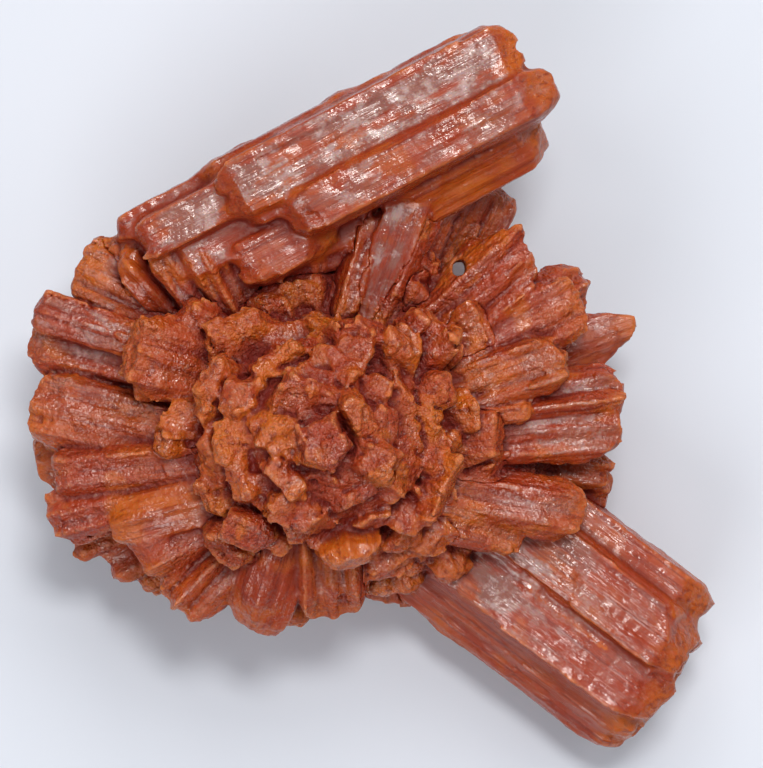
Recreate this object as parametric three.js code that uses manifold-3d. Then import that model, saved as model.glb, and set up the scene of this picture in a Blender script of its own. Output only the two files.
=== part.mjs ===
// A red aragonite cluster: twinned crystals grown together into one solid stone, in millimetres, +Z up.
//
// The stone rests on a flat broken base at Z = 0. Most of it is a rosette, half a ball of blunt petals that
// radiate from HEART. Two sheaves of long parallel prisms lie against it: the upper sheaf across its +Y side,
// and the lower sheaf, which leaves it towards +X and -Y. Every crystal runs through into its neighbours.
import * as THREE from "three";
import { ConvexGeometry } from "three/addons/geometries/ConvexGeometry.js";
import { mergeVertices } from "three/addons/utils/BufferGeometryUtils.js";
import Module from "manifold-3d";

// ---------------------------------------------------------------- driving dimensions
const HEART = [-3.0, -3.8, 10]; // where the rosette's crystals radiate from
const BASE_CUT = 0; // height of the flat broken base
const RIDGE_STEP = 0.08; // a petal's shortest ridge ends this share of its length early
const RIDGE_LIFT = 0.3; // how far ridges differ in height, as a share of half the thickness
const GROOVE = 0.3; // depth of the groove between two ridges, as a share of half the thickness
const CROWN = 0.4; // how much thinner a petal is at its edges than along its middle
const PETAL_EDGE = 0.25; // height of a petal's side edges, as a share of half the thickness
// The two points of a petal's underside: across, down, and where they end as a share of its length.
const UNDERSIDE = [[0.6, -0.9, 0.95], [-0.7, -0.85, 0.96]];
const PETAL_BELLY = [0, 0.6]; // where a petal has lumpy cross-sections, as shares of its length
const LUMP = 0.16; // how unevenly those sections swell
const PETAL_CAP = 0.6; // a petal's cap is this share as long as a plain crystal's
const SHORTEST = 0.82; // a cap never starts before this share of the petal's length
const PETAL_FILL = 1.3; // petals are this much wider than what shows of them, and run into their neighbours

// A cap closes a crystal's end: rings of [distance back from the end in tip half-widths, scale of the
// section], and how far the end face may lean, as a share of the tip's half-width.
const BLUNT = { rings: [[0.7, 1.0], [0, 0.62]], slant: 0.5 };
const ROUND = { rings: [[1.0, 1.0], [0.45, 0.84], [0, 0.5]], slant: 0.5 };
const POINT = { rings: [[1.9, 1.0], [0.9, 0.62], [0, 0.14]], slant: 0.3 };
const CUT = { rings: [[0, 0.8]], slant: 1.3 };

// The section of a crystal: a pseudohexagon with a ridge along its top or with a flat top, or a stub's
// five sides.
const RIDGED = [[0, 1], [1, 0.5], [1, -0.5], [0, -1], [-1, -0.5], [-1, 0.5]];
const FLAT = [[1, 0], [0.84, 1], [-0.84, 1], [-1, 0], [-0.84, -1], [0.84, -1]];
const STUB = [[0.1, 1], [1, 0.3], [0.7, -0.9], [-0.5, -1], [-1, 0.4]];

// ---------------------------------------------------------------- the rosette
// root [x, y, z], tip [x, y, z], width [root, tip], thickness [root, tip], ridges, cap
const RIM = [
  [[-10, 3.5, 18], [-25.8, 10.9, 16], [3.5, 5.2], [4, 4.6], 3, BLUNT],
  [[-12, 2, 19.5], [-29.3, 7.2, 17.5], [2, 2.8], [4, 4.6], 1, BLUNT],
  [[-12, 0.5, 18], [-29.8, 4.1, 15], [3, 4.2], [4, 5], 2, BLUNT],
  [[-12, -1, 12], [-27.6, 1.4, 12.5], [4, 5], [4, 5], 1, ROUND],
  [[-12, -5, 19], [-29.7, -0.9, 16.5], [4, 6], [4, 5], 3, BLUNT],
  [[-14, -5, 13], [-29, -3.2, 13.5], [3, 3.6], [4, 4.5], 1, BLUNT],
  [[-15, -5, 11], [-29.7, -6.2, 11], [4, 5], [4, 4.5], 1, ROUND],
  [[-10, -5.5, 20.5], [-27.8, -7.3, 17.5], [3, 3.6], [4, 4], 2, BLUNT],
  [[-9, -6.5, 20.5], [-28.3, -11, 16], [3, 4.4], [4, 5], 3, BLUNT],
  [[-12, -9, 20.5], [-22.6, -11.7, 18.5], [3, 3.6], [3, 3.6], 1, ROUND],
  [[-12, -9, 12], [-26.7, -13.8, 11.5], [3, 3.2], [4, 4.2], 2, BLUNT],
  [[-10, -9, 11], [-23.3, -15.8, 10.5], [3, 3.7], [4, 4.2], 2, BLUNT],
  [[-9, -9, 10], [-20.3, -17.2, 9.5], [3, 3], [4, 4], 1, BLUNT],
  [[-8, -8.5, 20.5], [-20.2, -14.7, 17.5], [3, 3.9], [4, 4.2], 2, BLUNT],
  [[-7, -8.5, 19.5], [-17.2, -19, 15.5], [3.5, 5.2], [4, 5], 3, BLUNT],
  [[-6.5, -8, 20.5], [-10.4, -20.7, 15], [4, 5.4], [7, 6], 1, ROUND],
  [[-5.5, -9, 14], [-6.8, -20.8, 12], [2.5, 3], [6, 5], 1, BLUNT],
  [[-4, -9, 20.5], [-3.1, -20.5, 14.6], [4.5, 6], [7, 6], 3, BLUNT],
  [[1, -9.5, 20.5], [13.9, -13.5, 17.5], [2.5, 3.2], [3, 3.6], 2, BLUNT],
  [[3, -8, 19.5], [19.8, -11, 18], [3.5, 4.5], [3.5, 4.5], 2, ROUND],
  [[5, -6, 12], [21.2, -8.9, 11], [3, 3.4], [4, 5], 1, BLUNT],
  [[4, -5, 15], [21.7, -6.6, 13.5], [3, 4.2], [4, 5], 3, BLUNT],
  [[1, -4, 19.5], [23, -1.7, 18], [5, 6.8], [5, 6], 4, BLUNT],
  [[3, -2.5, 20], [13.9, -1.5, 21.5], [1.6, 2], [2, 2.4], 1, BLUNT],
  [[4, -1.5, 20.5], [15, 0.2, 20], [2.4, 3], [3, 3.6], 1, BLUNT],
  [[2, -2, 20.5], [17.1, 3.3, 21], [3.5, 4.6], [4, 4.5], 3, BLUNT],
  [[3, -1, 12], [23.4, 5.8, 12.5], [4.5, 6.6], [4, 4.6], 1, POINT],
  [[3, 0, 20.5], [18.6, 8.1, 19], [4, 5.4], [4, 4.6], 3, BLUNT],
  [[3, 0, 18], [19.6, 9.7, 16], [4, 5], [4, 5], 3, ROUND],
  [[1, 1, 19.5], [15.5, 13.2, 19.5], [4, 6], [4, 5.4], 3, ROUND],
  [[1, 2, 18], [10.9, 12.6, 18], [3, 3.4], [4, 4], 1, BLUNT],
  [[1, -1, 11], [12.1, 17.6, 11.5], [2.4, 3], [4, 4.4], 1, BLUNT],
  [[0, -1, 12], [9.9, 19, 12.5], [2, 2.6], [5, 6], 1, BLUNT],
  [[-1, -1, 17], [8.4, 20, 15], [2, 2.6], [5, 6], 1, BLUNT],
  [[-2, -1, 19], [6.7, 19, 17.5], [1.6, 2.2], [5, 5.4], 1, BLUNT],
  [[-4, 0, 19], [0.8, 16.5, 18.8], [2, 2.6], [4, 4.4], 2, BLUNT],
];

// The shorter petals above the rim, which turn towards the top of the ball.
const CROWN_PETALS = [
  [[-8, 0, 17], [-21.2, 3.7, 23], [3.5, 5.4], [3.5, 4.4], 3, BLUNT],
  [[-8, -1, 16], [-20.8, 1.2, 21], [2.2, 2.6], [3, 3], 1, CUT],
  [[-8, 1, 16], [-16.8, 6.8, 22], [3, 4], [3, 3.6], 2, BLUNT],
  [[-7, 0, 17], [-12.5, 6.8, 24.5], [4, 5], [3, 3.8], 2, BLUNT],
  [[-6, 1, 14], [-9.4, 8.8, 21], [3.6, 4.4], [3, 4], 2, BLUNT],
  [[-5, 1, 14], [-6.2, 10.2, 20], [3, 3.6], [3, 3.6], 2, BLUNT],
  [[-4, 0, 14], [-3.6, 10.6, 19], [2.4, 2.8], [3, 3.4], 1, CUT],
  [[-9, -3, 16], [-17.8, -1.6, 24], [2.6, 2.9], [2.8, 3], 1, CUT],
  [[-9.5, -4, 16], [-18.4, -3.9, 22.5], [2.4, 2.7], [2.8, 3], 1, CUT],
  [[-8.5, -2.6, 17], [-15, -1, 26], [2.8, 3.1], [2.8, 3], 1, CUT],
  [[-8, -1, 18], [-14, 1.2, 26.5], [2.8, 3.4], [2.6, 3], 2, BLUNT],
  [[-7, -8, 16], [-11.2, -12.8, 26.5], [3.2, 3.7], [3.2, 3.6], 1, CUT],
  [[-6.5, -6, 16], [-11.8, -8, 28], [3, 3.5], [3, 3.4], 2, BLUNT],
  [[-6.5, -4, 16], [-12.2, -4.2, 28.5], [3.2, 3.8], [3, 3.4], 1, CUT],
  [[-6.5, -2.5, 16], [-11.7, -0.4, 28.3], [3, 3.3], [3, 3.2], 1, CUT],
  [[-3.2, -6.5, 15], [-1.5, -15.1, 24.5], [3.6, 4.4], [3.6, 4], 1, CUT],
  [[-0.5, -6.5, 17], [7.8, -9.2, 26], [4, 6.6], [3, 3.6], 3, BLUNT],
  [[-1, -7, 15], [3.2, -13.6, 22], [3, 3.4], [3, 3], 1, CUT],
  [[0, -3, 19], [7.2, 0.7, 25.5], [2, 2.6], [2.4, 3], 2, BLUNT],
  [[0, -1, 18], [6.4, 6.2, 25.5], [3.5, 5], [3, 3.6], 2, BLUNT],
  [[-2, -1.5, 18], [0.7, 6.3, 27], [4, 5.6], [3, 4], 3, BLUNT],
  [[-1, -1.5, 18], [3.7, 4.8, 27], [3, 3.5], [3, 3.4], 1, CUT],
  [[-8, -5, 16], [-14.6, -6.3, 25.5], [3, 3.6], [2.8, 3.2], 1, CUT],
  [[-7, -6.5, 16], [-14.8, -9.6, 24], [3, 3.6], [2.8, 3.2], 2, BLUNT],
  [[-3, 1, 15], [-4.4, 6.6, 22.5], [3, 3.6], [3, 3.4], 1, CUT],
  [[-5, 1, 15], [-7.6, 6.2, 22], [3, 3.6], [3, 3], 1, CUT],
  [[0, -3, 18], [5.8, -1.6, 25.5], [2.8, 3.4], [2.6, 3], 1, CUT],
  [[0, -4.5, 18], [6.4, -5, 25.6], [2.8, 3.6], [2.4, 3], 2, BLUNT],
  [[-1, -2, 18], [3.6, 1.6, 27], [2.6, 3], [2.4, 2.8], 1, CUT],
  [[-1, -6, 17], [4.4, -11.6, 25], [2.6, 3], [2.6, 3], 1, CUT],
  [[-2, -7, 16], [0.6, -11.9, 26], [2.4, 2.8], [2.4, 2.8], 1, CUT],
  [[-4, -8, 15], [-4, -12.6, 24.5], [2.6, 3], [2.6, 3], 1, CUT],
  [[-6, -8, 15], [-8.6, -13, 24], [2.6, 3], [2.6, 3], 1, CUT],
  [[0, -4.5, 17], [11.8, -3.9, 22.6], [3, 4], [3, 3.6], 2, BLUNT],
  [[0, -5, 16], [12.6, -6.8, 20.8], [3, 3.8], [3, 3.6], 2, BLUNT],
  [[0, -3, 18], [10.4, -1.2, 23.4], [2.6, 3.4], [2.6, 3], 1, CUT],
  [[-1, -7, 14], [6.8, -13.4, 20.6], [3, 3.8], [3, 3.4], 1, BLUNT],
  [[-2, -7, 14], [2.2, -16.2, 18.4], [3.4, 4.6], [3.4, 4.2], 2, BLUNT],
  [[-8, -7, 15], [-13, -14.4, 22.4], [3, 4], [3, 3.6], 2, BLUNT],
  [[1, 0, 16], [10.6, 6.4, 22], [3.2, 4.2], [3, 3.6], 2, BLUNT],
];

// The blunt ends that face straight out of the top.
const CROWN_TIPS = [
  [[-3.6, -4.4, 18], [-3.8, -4.4, 32], [3.6, 4.4], [3.6, 4.6], 1, CUT],
  [[-4.5, -4.6, 18], [-6.5, -5, 30.6], [2.4, 2.8], [2.4, 2.8], 1, CUT],
  [[-1.5, -5, 18], [0.9, -6.1, 30.6], [2.6, 3], [4, 5], 2, BLUNT],
  [[-2, -6.5, 18], [-0.8, -9.2, 29], [4, 5], [2.4, 2.8], 2, BLUNT],
  [[-1, -6.5, 18], [2.2, -9.4, 27.6], [2.2, 2.6], [2.2, 2.6], 1, CUT],
  [[-5, -7, 17], [-6.7, -11, 28.8], [4, 5], [3.4, 4], 2, BLUNT],
  [[-5, -7.5, 16], [-6.2, -13, 26.5], [1.8, 2.2], [1.8, 2.2], 1, CUT],
  [[-5, -5.5, 18], [-7.4, -7.7, 30.2], [3.8, 4.6], [2.8, 3.2], 2, BLUNT],
  [[-4.5, -3, 17], [-6.9, -0.4, 31], [3.6, 4.4], [2.8, 3.4], 1, CUT],
  [[-5, -1, 18], [-8.2, 3.7, 28], [4, 5.6], [2.2, 2.6], 2, BLUNT],
  [[-6, -2, 18], [-10.6, 1.9, 27.6], [3, 3.5], [2.6, 3], 1, CUT],
  [[-4.5, -2, 18], [-6, 2, 29.6], [3, 3.4], [2.4, 2.8], 1, CUT],
  [[-2.5, -3, 18], [-0.7, -2.2, 30.4], [3.4, 4], [3, 3.6], 2, BLUNT],
  [[-3, -2, 18], [-2.6, 0.6, 29.6], [2.4, 2.8], [2.4, 2.8], 1, CUT],
  [[-2, -3.5, 18], [1.8, -3.3, 28.8], [2.6, 3.2], [2.4, 3], 1, CUT],
  [[-1, -4, 18], [4.2, -3.8, 26.6], [2.6, 3.4], [2.4, 3], 2, BLUNT],
  [[-1.5, -2, 18], [0.9, 0.6, 28.6], [2.4, 2.8], [2.4, 2.6], 1, CUT],
];

// Stubby crystals round the broken base, under the rim: two tiers of
// [how many, reach from HEART along X and Y, lowest and highest tip, width, thickness].
const SKIRT = [
  [10, [16.5, 14.2], [2.6, 4.6], [5, 7], [5.5, 6.4]],
  [11, [20.5, 15.6], [8, 11], [4.4, 6.4], [5, 5.8]],
];
// Brown rough ends of the base towards -Y: their tips, and the size they all have.
const MATRIX_TIPS = [[1.5, -19.4, 6], [4.5, -19.7, 5.5], [7.5, -20.2, 5]];
const MATRIX_WIDTH = [3.4, 4];
const MATRIX_THICKNESS = [5, 5.4];
const MATRIX_ROOT_Z = 5;

// A chink between the crystals that lets the light through: x, y and half its width.
const CHINK = [7.7, 10.9, 0.6];
const CHINK_SIDES = 5;
const REACH = 100; // a length beyond the whole stone, for what is cut away

// The bulk that the crystals' roots make where they meet: rings of [height, half-size along X, along Y].
const BULK = [[0, 12, 10.5], [6, 17, 12.5], [13, 21.5, 14], [16, 20.5, 13], [20.5, 13, 9.5], [27, 6, 4.5]];
const BULK_SIDES = 12;

// ---------------------------------------------------------------- the sheaves
// Each sheaf has its own axes: `along` runs down its prisms and `across` is square to that, both measured
// from the frame's origin. start, end, across, height of the axis, width, thickness, cap, section
const UPPER_SHEAF_TURN = 27.5; // degrees from +X
const UPPER_SHEAF = [
  [-13.3, 1, 22.5, 18.5, 2.4, 5, BLUNT, FLAT],
  [-11.8, 3, 19.6, 20.5, 5, 7.6, BLUNT, FLAT],
  [-4.2, 10.8, 22.9, 20, 2.4, 5, ROUND, FLAT],
  [8, 14.6, 23.2, 19.5, 2, 4, BLUNT, FLAT],
  [14, 22.4, 22.9, 18.5, 2.2, 4.6, ROUND, FLAT],
  [-3.5, 25.2, 20.7, 21.8, 5.4, 9, BLUNT, FLAT],
  [0, 27, 16.2, 23, 4.2, 8.4, ROUND, FLAT],
  [-2.5, 24.6, 18.3, 21.5, 2.6, 7.4, BLUNT, FLAT],
  [9, 24.6, 13.6, 17.5, 5.4, 10, BLUNT, RIDGED],
  [-7.6, 4, 14.4, 19.4, 4.8, 7, BLUNT, FLAT],
  [-2, 5.4, 11.9, 18, 1.2, 3, BLUNT, FLAT],
  [1, 7.6, 13, 18.6, 1.4, 3.4, BLUNT, FLAT],
  [-12.4, -3, 20, 14.8, 3.6, 5, ROUND, FLAT],
  [-10, 21, 18.8, 14.6, 6.6, 6.5, BLUNT, RIDGED],
  [2, 17, 21.4, 14.4, 4.4, 5, BLUNT, RIDGED],
  [-9, 12, 12.4, 13.4, 7, 6.4, BLUNT, RIDGED],
];
// A pale fan of striated crystals between the upper sheaf and the rosette.
const FAN = [
  [[-9, -1, 13], [-17.6, 13.2, 18.4], [3, 3.6], [3, 4], 3, BLUNT],
  [[-8, 0, 13], [-14.2, 12.8, 19], [3, 3.6], [3, 4], 3, BLUNT],
  [[-10, -1, 13], [-20.6, 11.8, 17.4], [2.4, 2.6], [2.6, 3.6], 1, ROUND],
];
// The broad dull prism that leaves the rosette under the upper sheaf.
const DULL_PRISM = [[-3.4, -2, 17.5], [4.4, 19.5, 19.2], [3.2, 4.2], [4, 4.6], 1, BLUNT];

const LOWER_SHEAF_TURN = -37;
const LOWER_SHEAF = [
  [8, 35.8, 2, 10.2, 4, 8.4, BLUNT, FLAT],
  [8, 37, -1.8, 11, 5.6, 9.6, BLUNT, FLAT],
  [6, 37.9, -6.6, 10.2, 6.4, 9, ROUND, FLAT],
  [10, 37.6, -3.6, 6.6, 5.6, 6.4, BLUNT, RIDGED],
  [13, 37.6, -10.3, 5.8, 5.4, 6.6, ROUND, RIDGED],
  [20, 34.2, 0.6, 13.2, 1.2, 3.6, BLUNT, FLAT],
  [21, 31, -5.6, 13.2, 1.3, 3, POINT, RIDGED],
  [23, 32.8, -4.2, 13.4, 1.2, 3.2, POINT, RIDGED],
  [10, 18.6, -8.6, 12.6, 1.4, 3.2, POINT, RIDGED],
  [6, 34, -1, 4.6, 8, 5, BLUNT, FLAT],
];

// ---------------------------------------------------------------- making one crystal
const wasm = await Module();
wasm.setup();

// A number from 0 to 1 that is always the same for the same seed.
function scatter(seed) {
  const value = Math.sin(seed * 12.9898) * 43758.5453;
  return value - Math.floor(value);
}

const lerp = THREE.MathUtils.lerp;

// A solid that can be joined, from its points and the corners of its triangles.
function solidOf(points, triangles) {
  const vertProperties = new Float32Array(points.flatMap((point) => point.toArray()));
  return new wasm.Manifold(
    new wasm.Mesh({ numProp: 3, vertProperties, triVerts: new Uint32Array(triangles) }),
  );
}

// The closed convex mesh around a list of points, as a solid.
function hull(points) {
  const geometry = new ConvexGeometry(points);
  geometry.deleteAttribute("normal");
  const merged = mergeVertices(geometry, 1e-4);
  const position = merged.getAttribute("position");
  const corners = [];
  for (let i = 0; i < position.count; i += 1)
    corners.push(new THREE.Vector3().fromBufferAttribute(position, i));
  return solidOf(corners, merged.index.array);
}

// The crystal's own axes: `axis` from root to tip, `side` level, and `up` square to both.
function axesOf(root, tip) {
  const axis = tip.clone().sub(root).normalize();
  const side = new THREE.Vector3(0, 0, 1).cross(axis).normalize();
  const up = axis.clone().cross(side);
  return { axis, side, up };
}

// The point of a crystal `along` its axis, `x` half-widths and `y` half-thicknesses from it.
function pointOf(crystal, along, x, y) {
  const { axis, side, up } = axesOf(crystal.root, crystal.tip);
  const t = along / crystal.root.distanceTo(crystal.tip);
  const halfWidth = lerp(crystal.width[0], crystal.width[1], t) / 2;
  const halfThickness = lerp(crystal.thickness[0], crystal.thickness[1], t) / 2;
  return crystal.root
    .clone()
    .addScaledVector(axis, along)
    .addScaledVector(side, halfWidth * x)
    .addScaledVector(up, halfThickness * y);
}

// A plain crystal: its six-sided section from root to tip, with a cap that leans a little.
function plainCrystal(crystal, seed) {
  const { width, cap, section, freeStart } = crystal;
  const full = crystal.root.distanceTo(crystal.tip);
  const lean = [cap.slant * (scatter(seed + 300) - 0.5), cap.slant * (scatter(seed + 500) - 0.5)];
  const points = [];
  const ring = (along, scale, half, sign) => {
    for (const [x, y] of section) {
      const slant = sign * half * (lean[0] * x + lean[1] * y - Math.abs(lean[0]) - Math.abs(lean[1]));
      points.push(pointOf(crystal, along + slant, scale * x, scale * y));
    }
  };
  if (!freeStart) ring(0, 1, 0, 1);
  else for (const [back, scale] of cap.rings) ring((back * width[0]) / 2, scale, width[0] / 2, -1);
  for (const [back, scale] of cap.rings) ring(full - (back * width[1]) / 2, scale, width[1] / 2, 1);
  return hull(points);
}

// A petal: a lumpy wedge whose top is drawn into ridges, each with an end of its own.
function ridgedPetal(crystal, seed) {
  const { ridges, cap } = crystal;
  const full = crystal.root.distanceTo(crystal.tip);
  const draw = (k, salt) => scatter(17 * seed + 5 * k + salt);
  const ends = [];
  for (let k = 0; k < ridges; k += 1) ends.push(full * (1 - RIDGE_STEP * draw(k, 1)));
  // [x, y, length] of each point round the section: ridges and grooves over the top, then the underside
  const outline = [];
  for (let j = 0; j <= 2 * ridges; j += 1) {
    const x = -1 + j / ridges;
    const crown = 1 - CROWN * x * x;
    const k = Math.floor((j - 1) / 2);
    if (j % 2 === 1) outline.push([x, crown + RIDGE_LIFT * (draw(k, 3) - 0.5), ends[k]]);
    else if (j === 0) outline.push([x, PETAL_EDGE, ends[0]]);
    else if (j === 2 * ridges) outline.push([x, PETAL_EDGE, ends[ridges - 1]]);
    else outline.push([x, crown - GROOVE, Math.min(ends[k], ends[k + 1])]);
  }
  for (const [x, y, share] of UNDERSIDE) outline.push([x, y, share * full]);

  const rings = PETAL_BELLY.map((share, r) =>
    outline.map(([x, y], j) => {
      const swell = 1 + LUMP * (draw(j, 30 + r) - 0.5);
      return pointOf(crystal, share * full, x * swell, y * swell);
    }),
  );
  for (const [back, scale] of cap.rings) {
    const setBack = (PETAL_CAP * back * crystal.width[1]) / 2;
    const narrowing = (1 + scale) / 2;
    rings.push(
      outline.map(([x, y, length]) =>
        pointOf(crystal, Math.max(length - setBack, SHORTEST * full), x * narrowing, y * scale),
      ),
    );
  }
  return loft(rings);
}

// The closed mesh through rings of equally many points, which run clockwise seen from the last ring's side,
// with a fan over each end.
function loft(rings) {
  const count = rings[0].length;
  const points = rings.flat();
  const triangles = [];
  for (let r = 0; r + 1 < rings.length; r += 1) {
    for (let j = 0; j < count; j += 1) {
      const a = r * count + j;
      const b = r * count + ((j + 1) % count);
      triangles.push(a, b + count, b, a, a + count, b + count);
    }
  }
  for (const [r, flip] of [[0, false], [rings.length - 1, true]]) {
    const middle = new THREE.Vector3();
    for (const point of rings[r]) middle.addScaledVector(point, 1 / count);
    points.push(middle);
    for (let j = 0; j < count; j += 1) {
      const a = r * count + j;
      const b = r * count + ((j + 1) % count);
      triangles.push(...(flip ? [b, a] : [a, b]), points.length - 1);
    }
  }
  return solidOf(points, triangles);
}

function crystalSolid(crystal, seed) {
  return crystal.ridges > 1 ? ridgedPetal(crystal, seed) : plainCrystal(crystal, seed);
}

const vector = (xyz) => new THREE.Vector3(...xyz);

// A row of the rosette's tables as a crystal.
function petal([root, tip, width, thickness, ridges, cap]) {
  const section = cap === CUT ? STUB : RIDGED;
  return { root: vector(root), tip: vector(tip), width, thickness, ridges, cap, section };
}

function widePetal(row) {
  const crystal = petal(row);
  return { ...crystal, width: crystal.width.map((w) => w * PETAL_FILL) };
}

// A row of a sheaf's table as a crystal, its axes turned by `turn` degrees from +X.
function prism([start, end, across, height, width, thickness, cap, section], turn) {
  const spin = new THREE.Matrix4().makeRotationZ(THREE.MathUtils.degToRad(turn));
  const root = vector([start, across, height]).applyMatrix4(spin);
  const tip = vector([end, across, height]).applyMatrix4(spin);
  return {
    root,
    tip,
    width: [width, width],
    thickness: [thickness, thickness],
    ridges: 1,
    cap,
    section,
    freeStart: true, // both ends of a bar are capped, so its start isn't a bare cut
  };
}

function skirt() {
  const crystals = [];
  SKIRT.forEach(([count, reach, tipZ, width, thickness], tier) => {
    for (let k = 0; k < count; k += 1) {
      const draw = (salt) => scatter(31 * tier + k + salt);
      const turn = ((k + 0.5 * draw(40) + 0.5 * tier) * 2 * Math.PI) / count;
      const share = 0.9 + 0.1 * draw(60);
      crystals.push({
        root: vector([HEART[0], HEART[1], HEART[2] + 2 * tier]),
        tip: vector([
          HEART[0] + reach[0] * share * Math.cos(turn),
          HEART[1] + reach[1] * share * Math.sin(turn),
          lerp(tipZ[0], tipZ[1], draw(80)),
        ]),
        width,
        thickness,
        ridges: 1,
        cap: CUT,
        section: STUB,
      });
    }
  });
  for (const tip of MATRIX_TIPS)
    crystals.push(
      petal([[tip[0] / 2, HEART[1], MATRIX_ROOT_Z], tip, MATRIX_WIDTH, MATRIX_THICKNESS, 1, BLUNT]),
    );
  return crystals;
}

function bulk() {
  const points = [];
  for (const [z, halfX, halfY] of BULK) {
    for (let k = 0; k < BULK_SIDES; k += 1) {
      const turn = (2 * Math.PI * (k + 0.5)) / BULK_SIDES;
      points.push(vector([HEART[0] + halfX * Math.cos(turn), HEART[1] + halfY * Math.sin(turn), z]));
    }
  }
  return hull(points);
}

// An upright column round (x, y) from z = low to z = high.
function column(x, y, halfWidth, sides, low, high) {
  const points = [];
  for (let k = 0; k < sides; k += 1) {
    const turn = (2 * Math.PI * (k + 0.5)) / sides;
    for (const z of [low, high])
      points.push(vector([x + halfWidth * Math.cos(turn), y + halfWidth * Math.sin(turn), z]));
  }
  return hull(points);
}

// ---------------------------------------------------------------- joining
const crystals = [
  ...RIM.map(widePetal),
  ...CROWN_PETALS.map(widePetal),
  ...CROWN_TIPS.map(petal),
  ...FAN.map(petal),
  { ...petal(DULL_PRISM), section: FLAT },
  ...skirt(),
  ...UPPER_SHEAF.map((row) => prism(row, UPPER_SHEAF_TURN)),
  ...LOWER_SHEAF.map((row) => prism(row, LOWER_SHEAF_TURN)),
];

let stone = bulk();
crystals.forEach((crystal, seed) => {
  stone = stone.add(crystalSolid(crystal, seed));
});

// Everything below the base is broken away, and the chink is open from top to bottom.
stone = stone.subtract(column(0, 0, REACH, 4, -REACH, BASE_CUT));
stone = stone.subtract(column(...CHINK, CHINK_SIDES, -REACH, REACH));

// Spaces closed in between the crystals are solid stone, so only the outer surface is kept.
stone = stone.decompose().reduce((a, b) => (a.volume() > b.volume() ? a : b));

function meshOf(solid, name, material) {
  const { vertProperties, triVerts, numProp } = solid.getMesh();
  const geometry = new THREE.BufferGeometry();
  const positions = new Float32Array((vertProperties.length / numProp) * 3);
  for (let i = 0; i * numProp < vertProperties.length; i += 1)
    positions.set(vertProperties.subarray(i * numProp, i * numProp + 3), i * 3);
  geometry.setAttribute("position", new THREE.BufferAttribute(positions, 3));
  geometry.setIndex(new THREE.BufferAttribute(triVerts, 1));
  const mesh = new THREE.Mesh(geometry, material);
  mesh.name = name;
  return mesh;
}

const aragonite = new THREE.MeshStandardMaterial({ color: 0x9e4a2c, roughness: 0.5, metalness: 0 });
const cluster = new THREE.Group();
cluster.add(meshOf(stone, "aragonite_cluster", aragonite));

export default cluster;
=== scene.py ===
"""The look of a red aragonite cluster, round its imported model.

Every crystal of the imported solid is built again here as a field: a number at each place of a grid, which is
below 0 inside the crystal. The fields get what the solid leaves out, such as fibres, ledges, broken ends and
knobs, and are joined with short crystals that fill the gaps. Then they are turned into meshes. Lengths are in
millimetres until a mesh is made.
"""
import itertools
import math
from collections import namedtuple

import bpy
import numpy as np
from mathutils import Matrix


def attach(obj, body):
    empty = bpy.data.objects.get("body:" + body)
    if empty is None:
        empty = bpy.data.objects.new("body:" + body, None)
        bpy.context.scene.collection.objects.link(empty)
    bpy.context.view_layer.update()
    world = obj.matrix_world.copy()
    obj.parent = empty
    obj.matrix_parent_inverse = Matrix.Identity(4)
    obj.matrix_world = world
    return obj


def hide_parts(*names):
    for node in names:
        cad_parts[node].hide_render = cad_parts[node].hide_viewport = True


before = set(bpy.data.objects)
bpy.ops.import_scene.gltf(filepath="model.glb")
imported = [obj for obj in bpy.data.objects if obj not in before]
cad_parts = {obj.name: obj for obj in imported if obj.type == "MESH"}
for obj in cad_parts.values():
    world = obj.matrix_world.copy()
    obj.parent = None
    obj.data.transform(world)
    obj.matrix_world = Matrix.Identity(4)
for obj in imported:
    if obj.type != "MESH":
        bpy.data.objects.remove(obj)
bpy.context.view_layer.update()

import openvdb
from mathutils import Vector

MM = 0.001

# ------- the crystals
# FOOT, SHEAF_SIDE, SHEAF_STEP and what sprouts in the gaps are made only here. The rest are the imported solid's,
# but the fan's tips and two bars of the upper sheaf lie up to 3 mm off their places in it.
HEART = np.array([-3.0, -3.8, 10.0])  # where the rosette's crystals radiate from
# a ridged crystal's ends, as a share of its length, and its section, as shares of its half-thickness
RIDGE_STEP, RIDGE_LIFT, GROOVE, CROWN, PETAL_EDGE = 0.08, 0.3, 0.3, 0.4, 0.25
FLANK, FLANK_DROP, BACK = 0.86, 0.35, 0.9
# how much wider the crystals are than their rows say
PETAL_FILL, LOBE_FILL, KNOB_FILL, BAR_FILL = 1.3, 1.45, 1.3, 1.12
CHIPS = 5  # small planes that break each tip's corners

# A cap: [distance back from the end in tip half-widths, scale of the section], and how far it leans.
BLUNT = ([(0.7, 1.0), (0, 0.62)], 0.5)
ROUND = ([(1.0, 1.0), (0.45, 0.84), (0, 0.5)], 0.5)
POINT = ([(1.9, 1.0), (0.9, 0.62), (0, 0.14)], 0.3)
CUT = ([(0.35, 1.0), (0, 0.8)], 1.3)

RIDGED = [(0, 1), (1, 0.5), (1, -0.5), (0, -1), (-1, -0.5), (-1, 0.5)]
FLAT = [(1, 0), (0.84, 1), (-0.84, 1), (-1, 0), (-0.84, -1), (0.84, -1)]
STUB = [(0.1, 1), (1, 0.3), (0.7, -0.9), (-0.5, -1), (-1, 0.4)]

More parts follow.
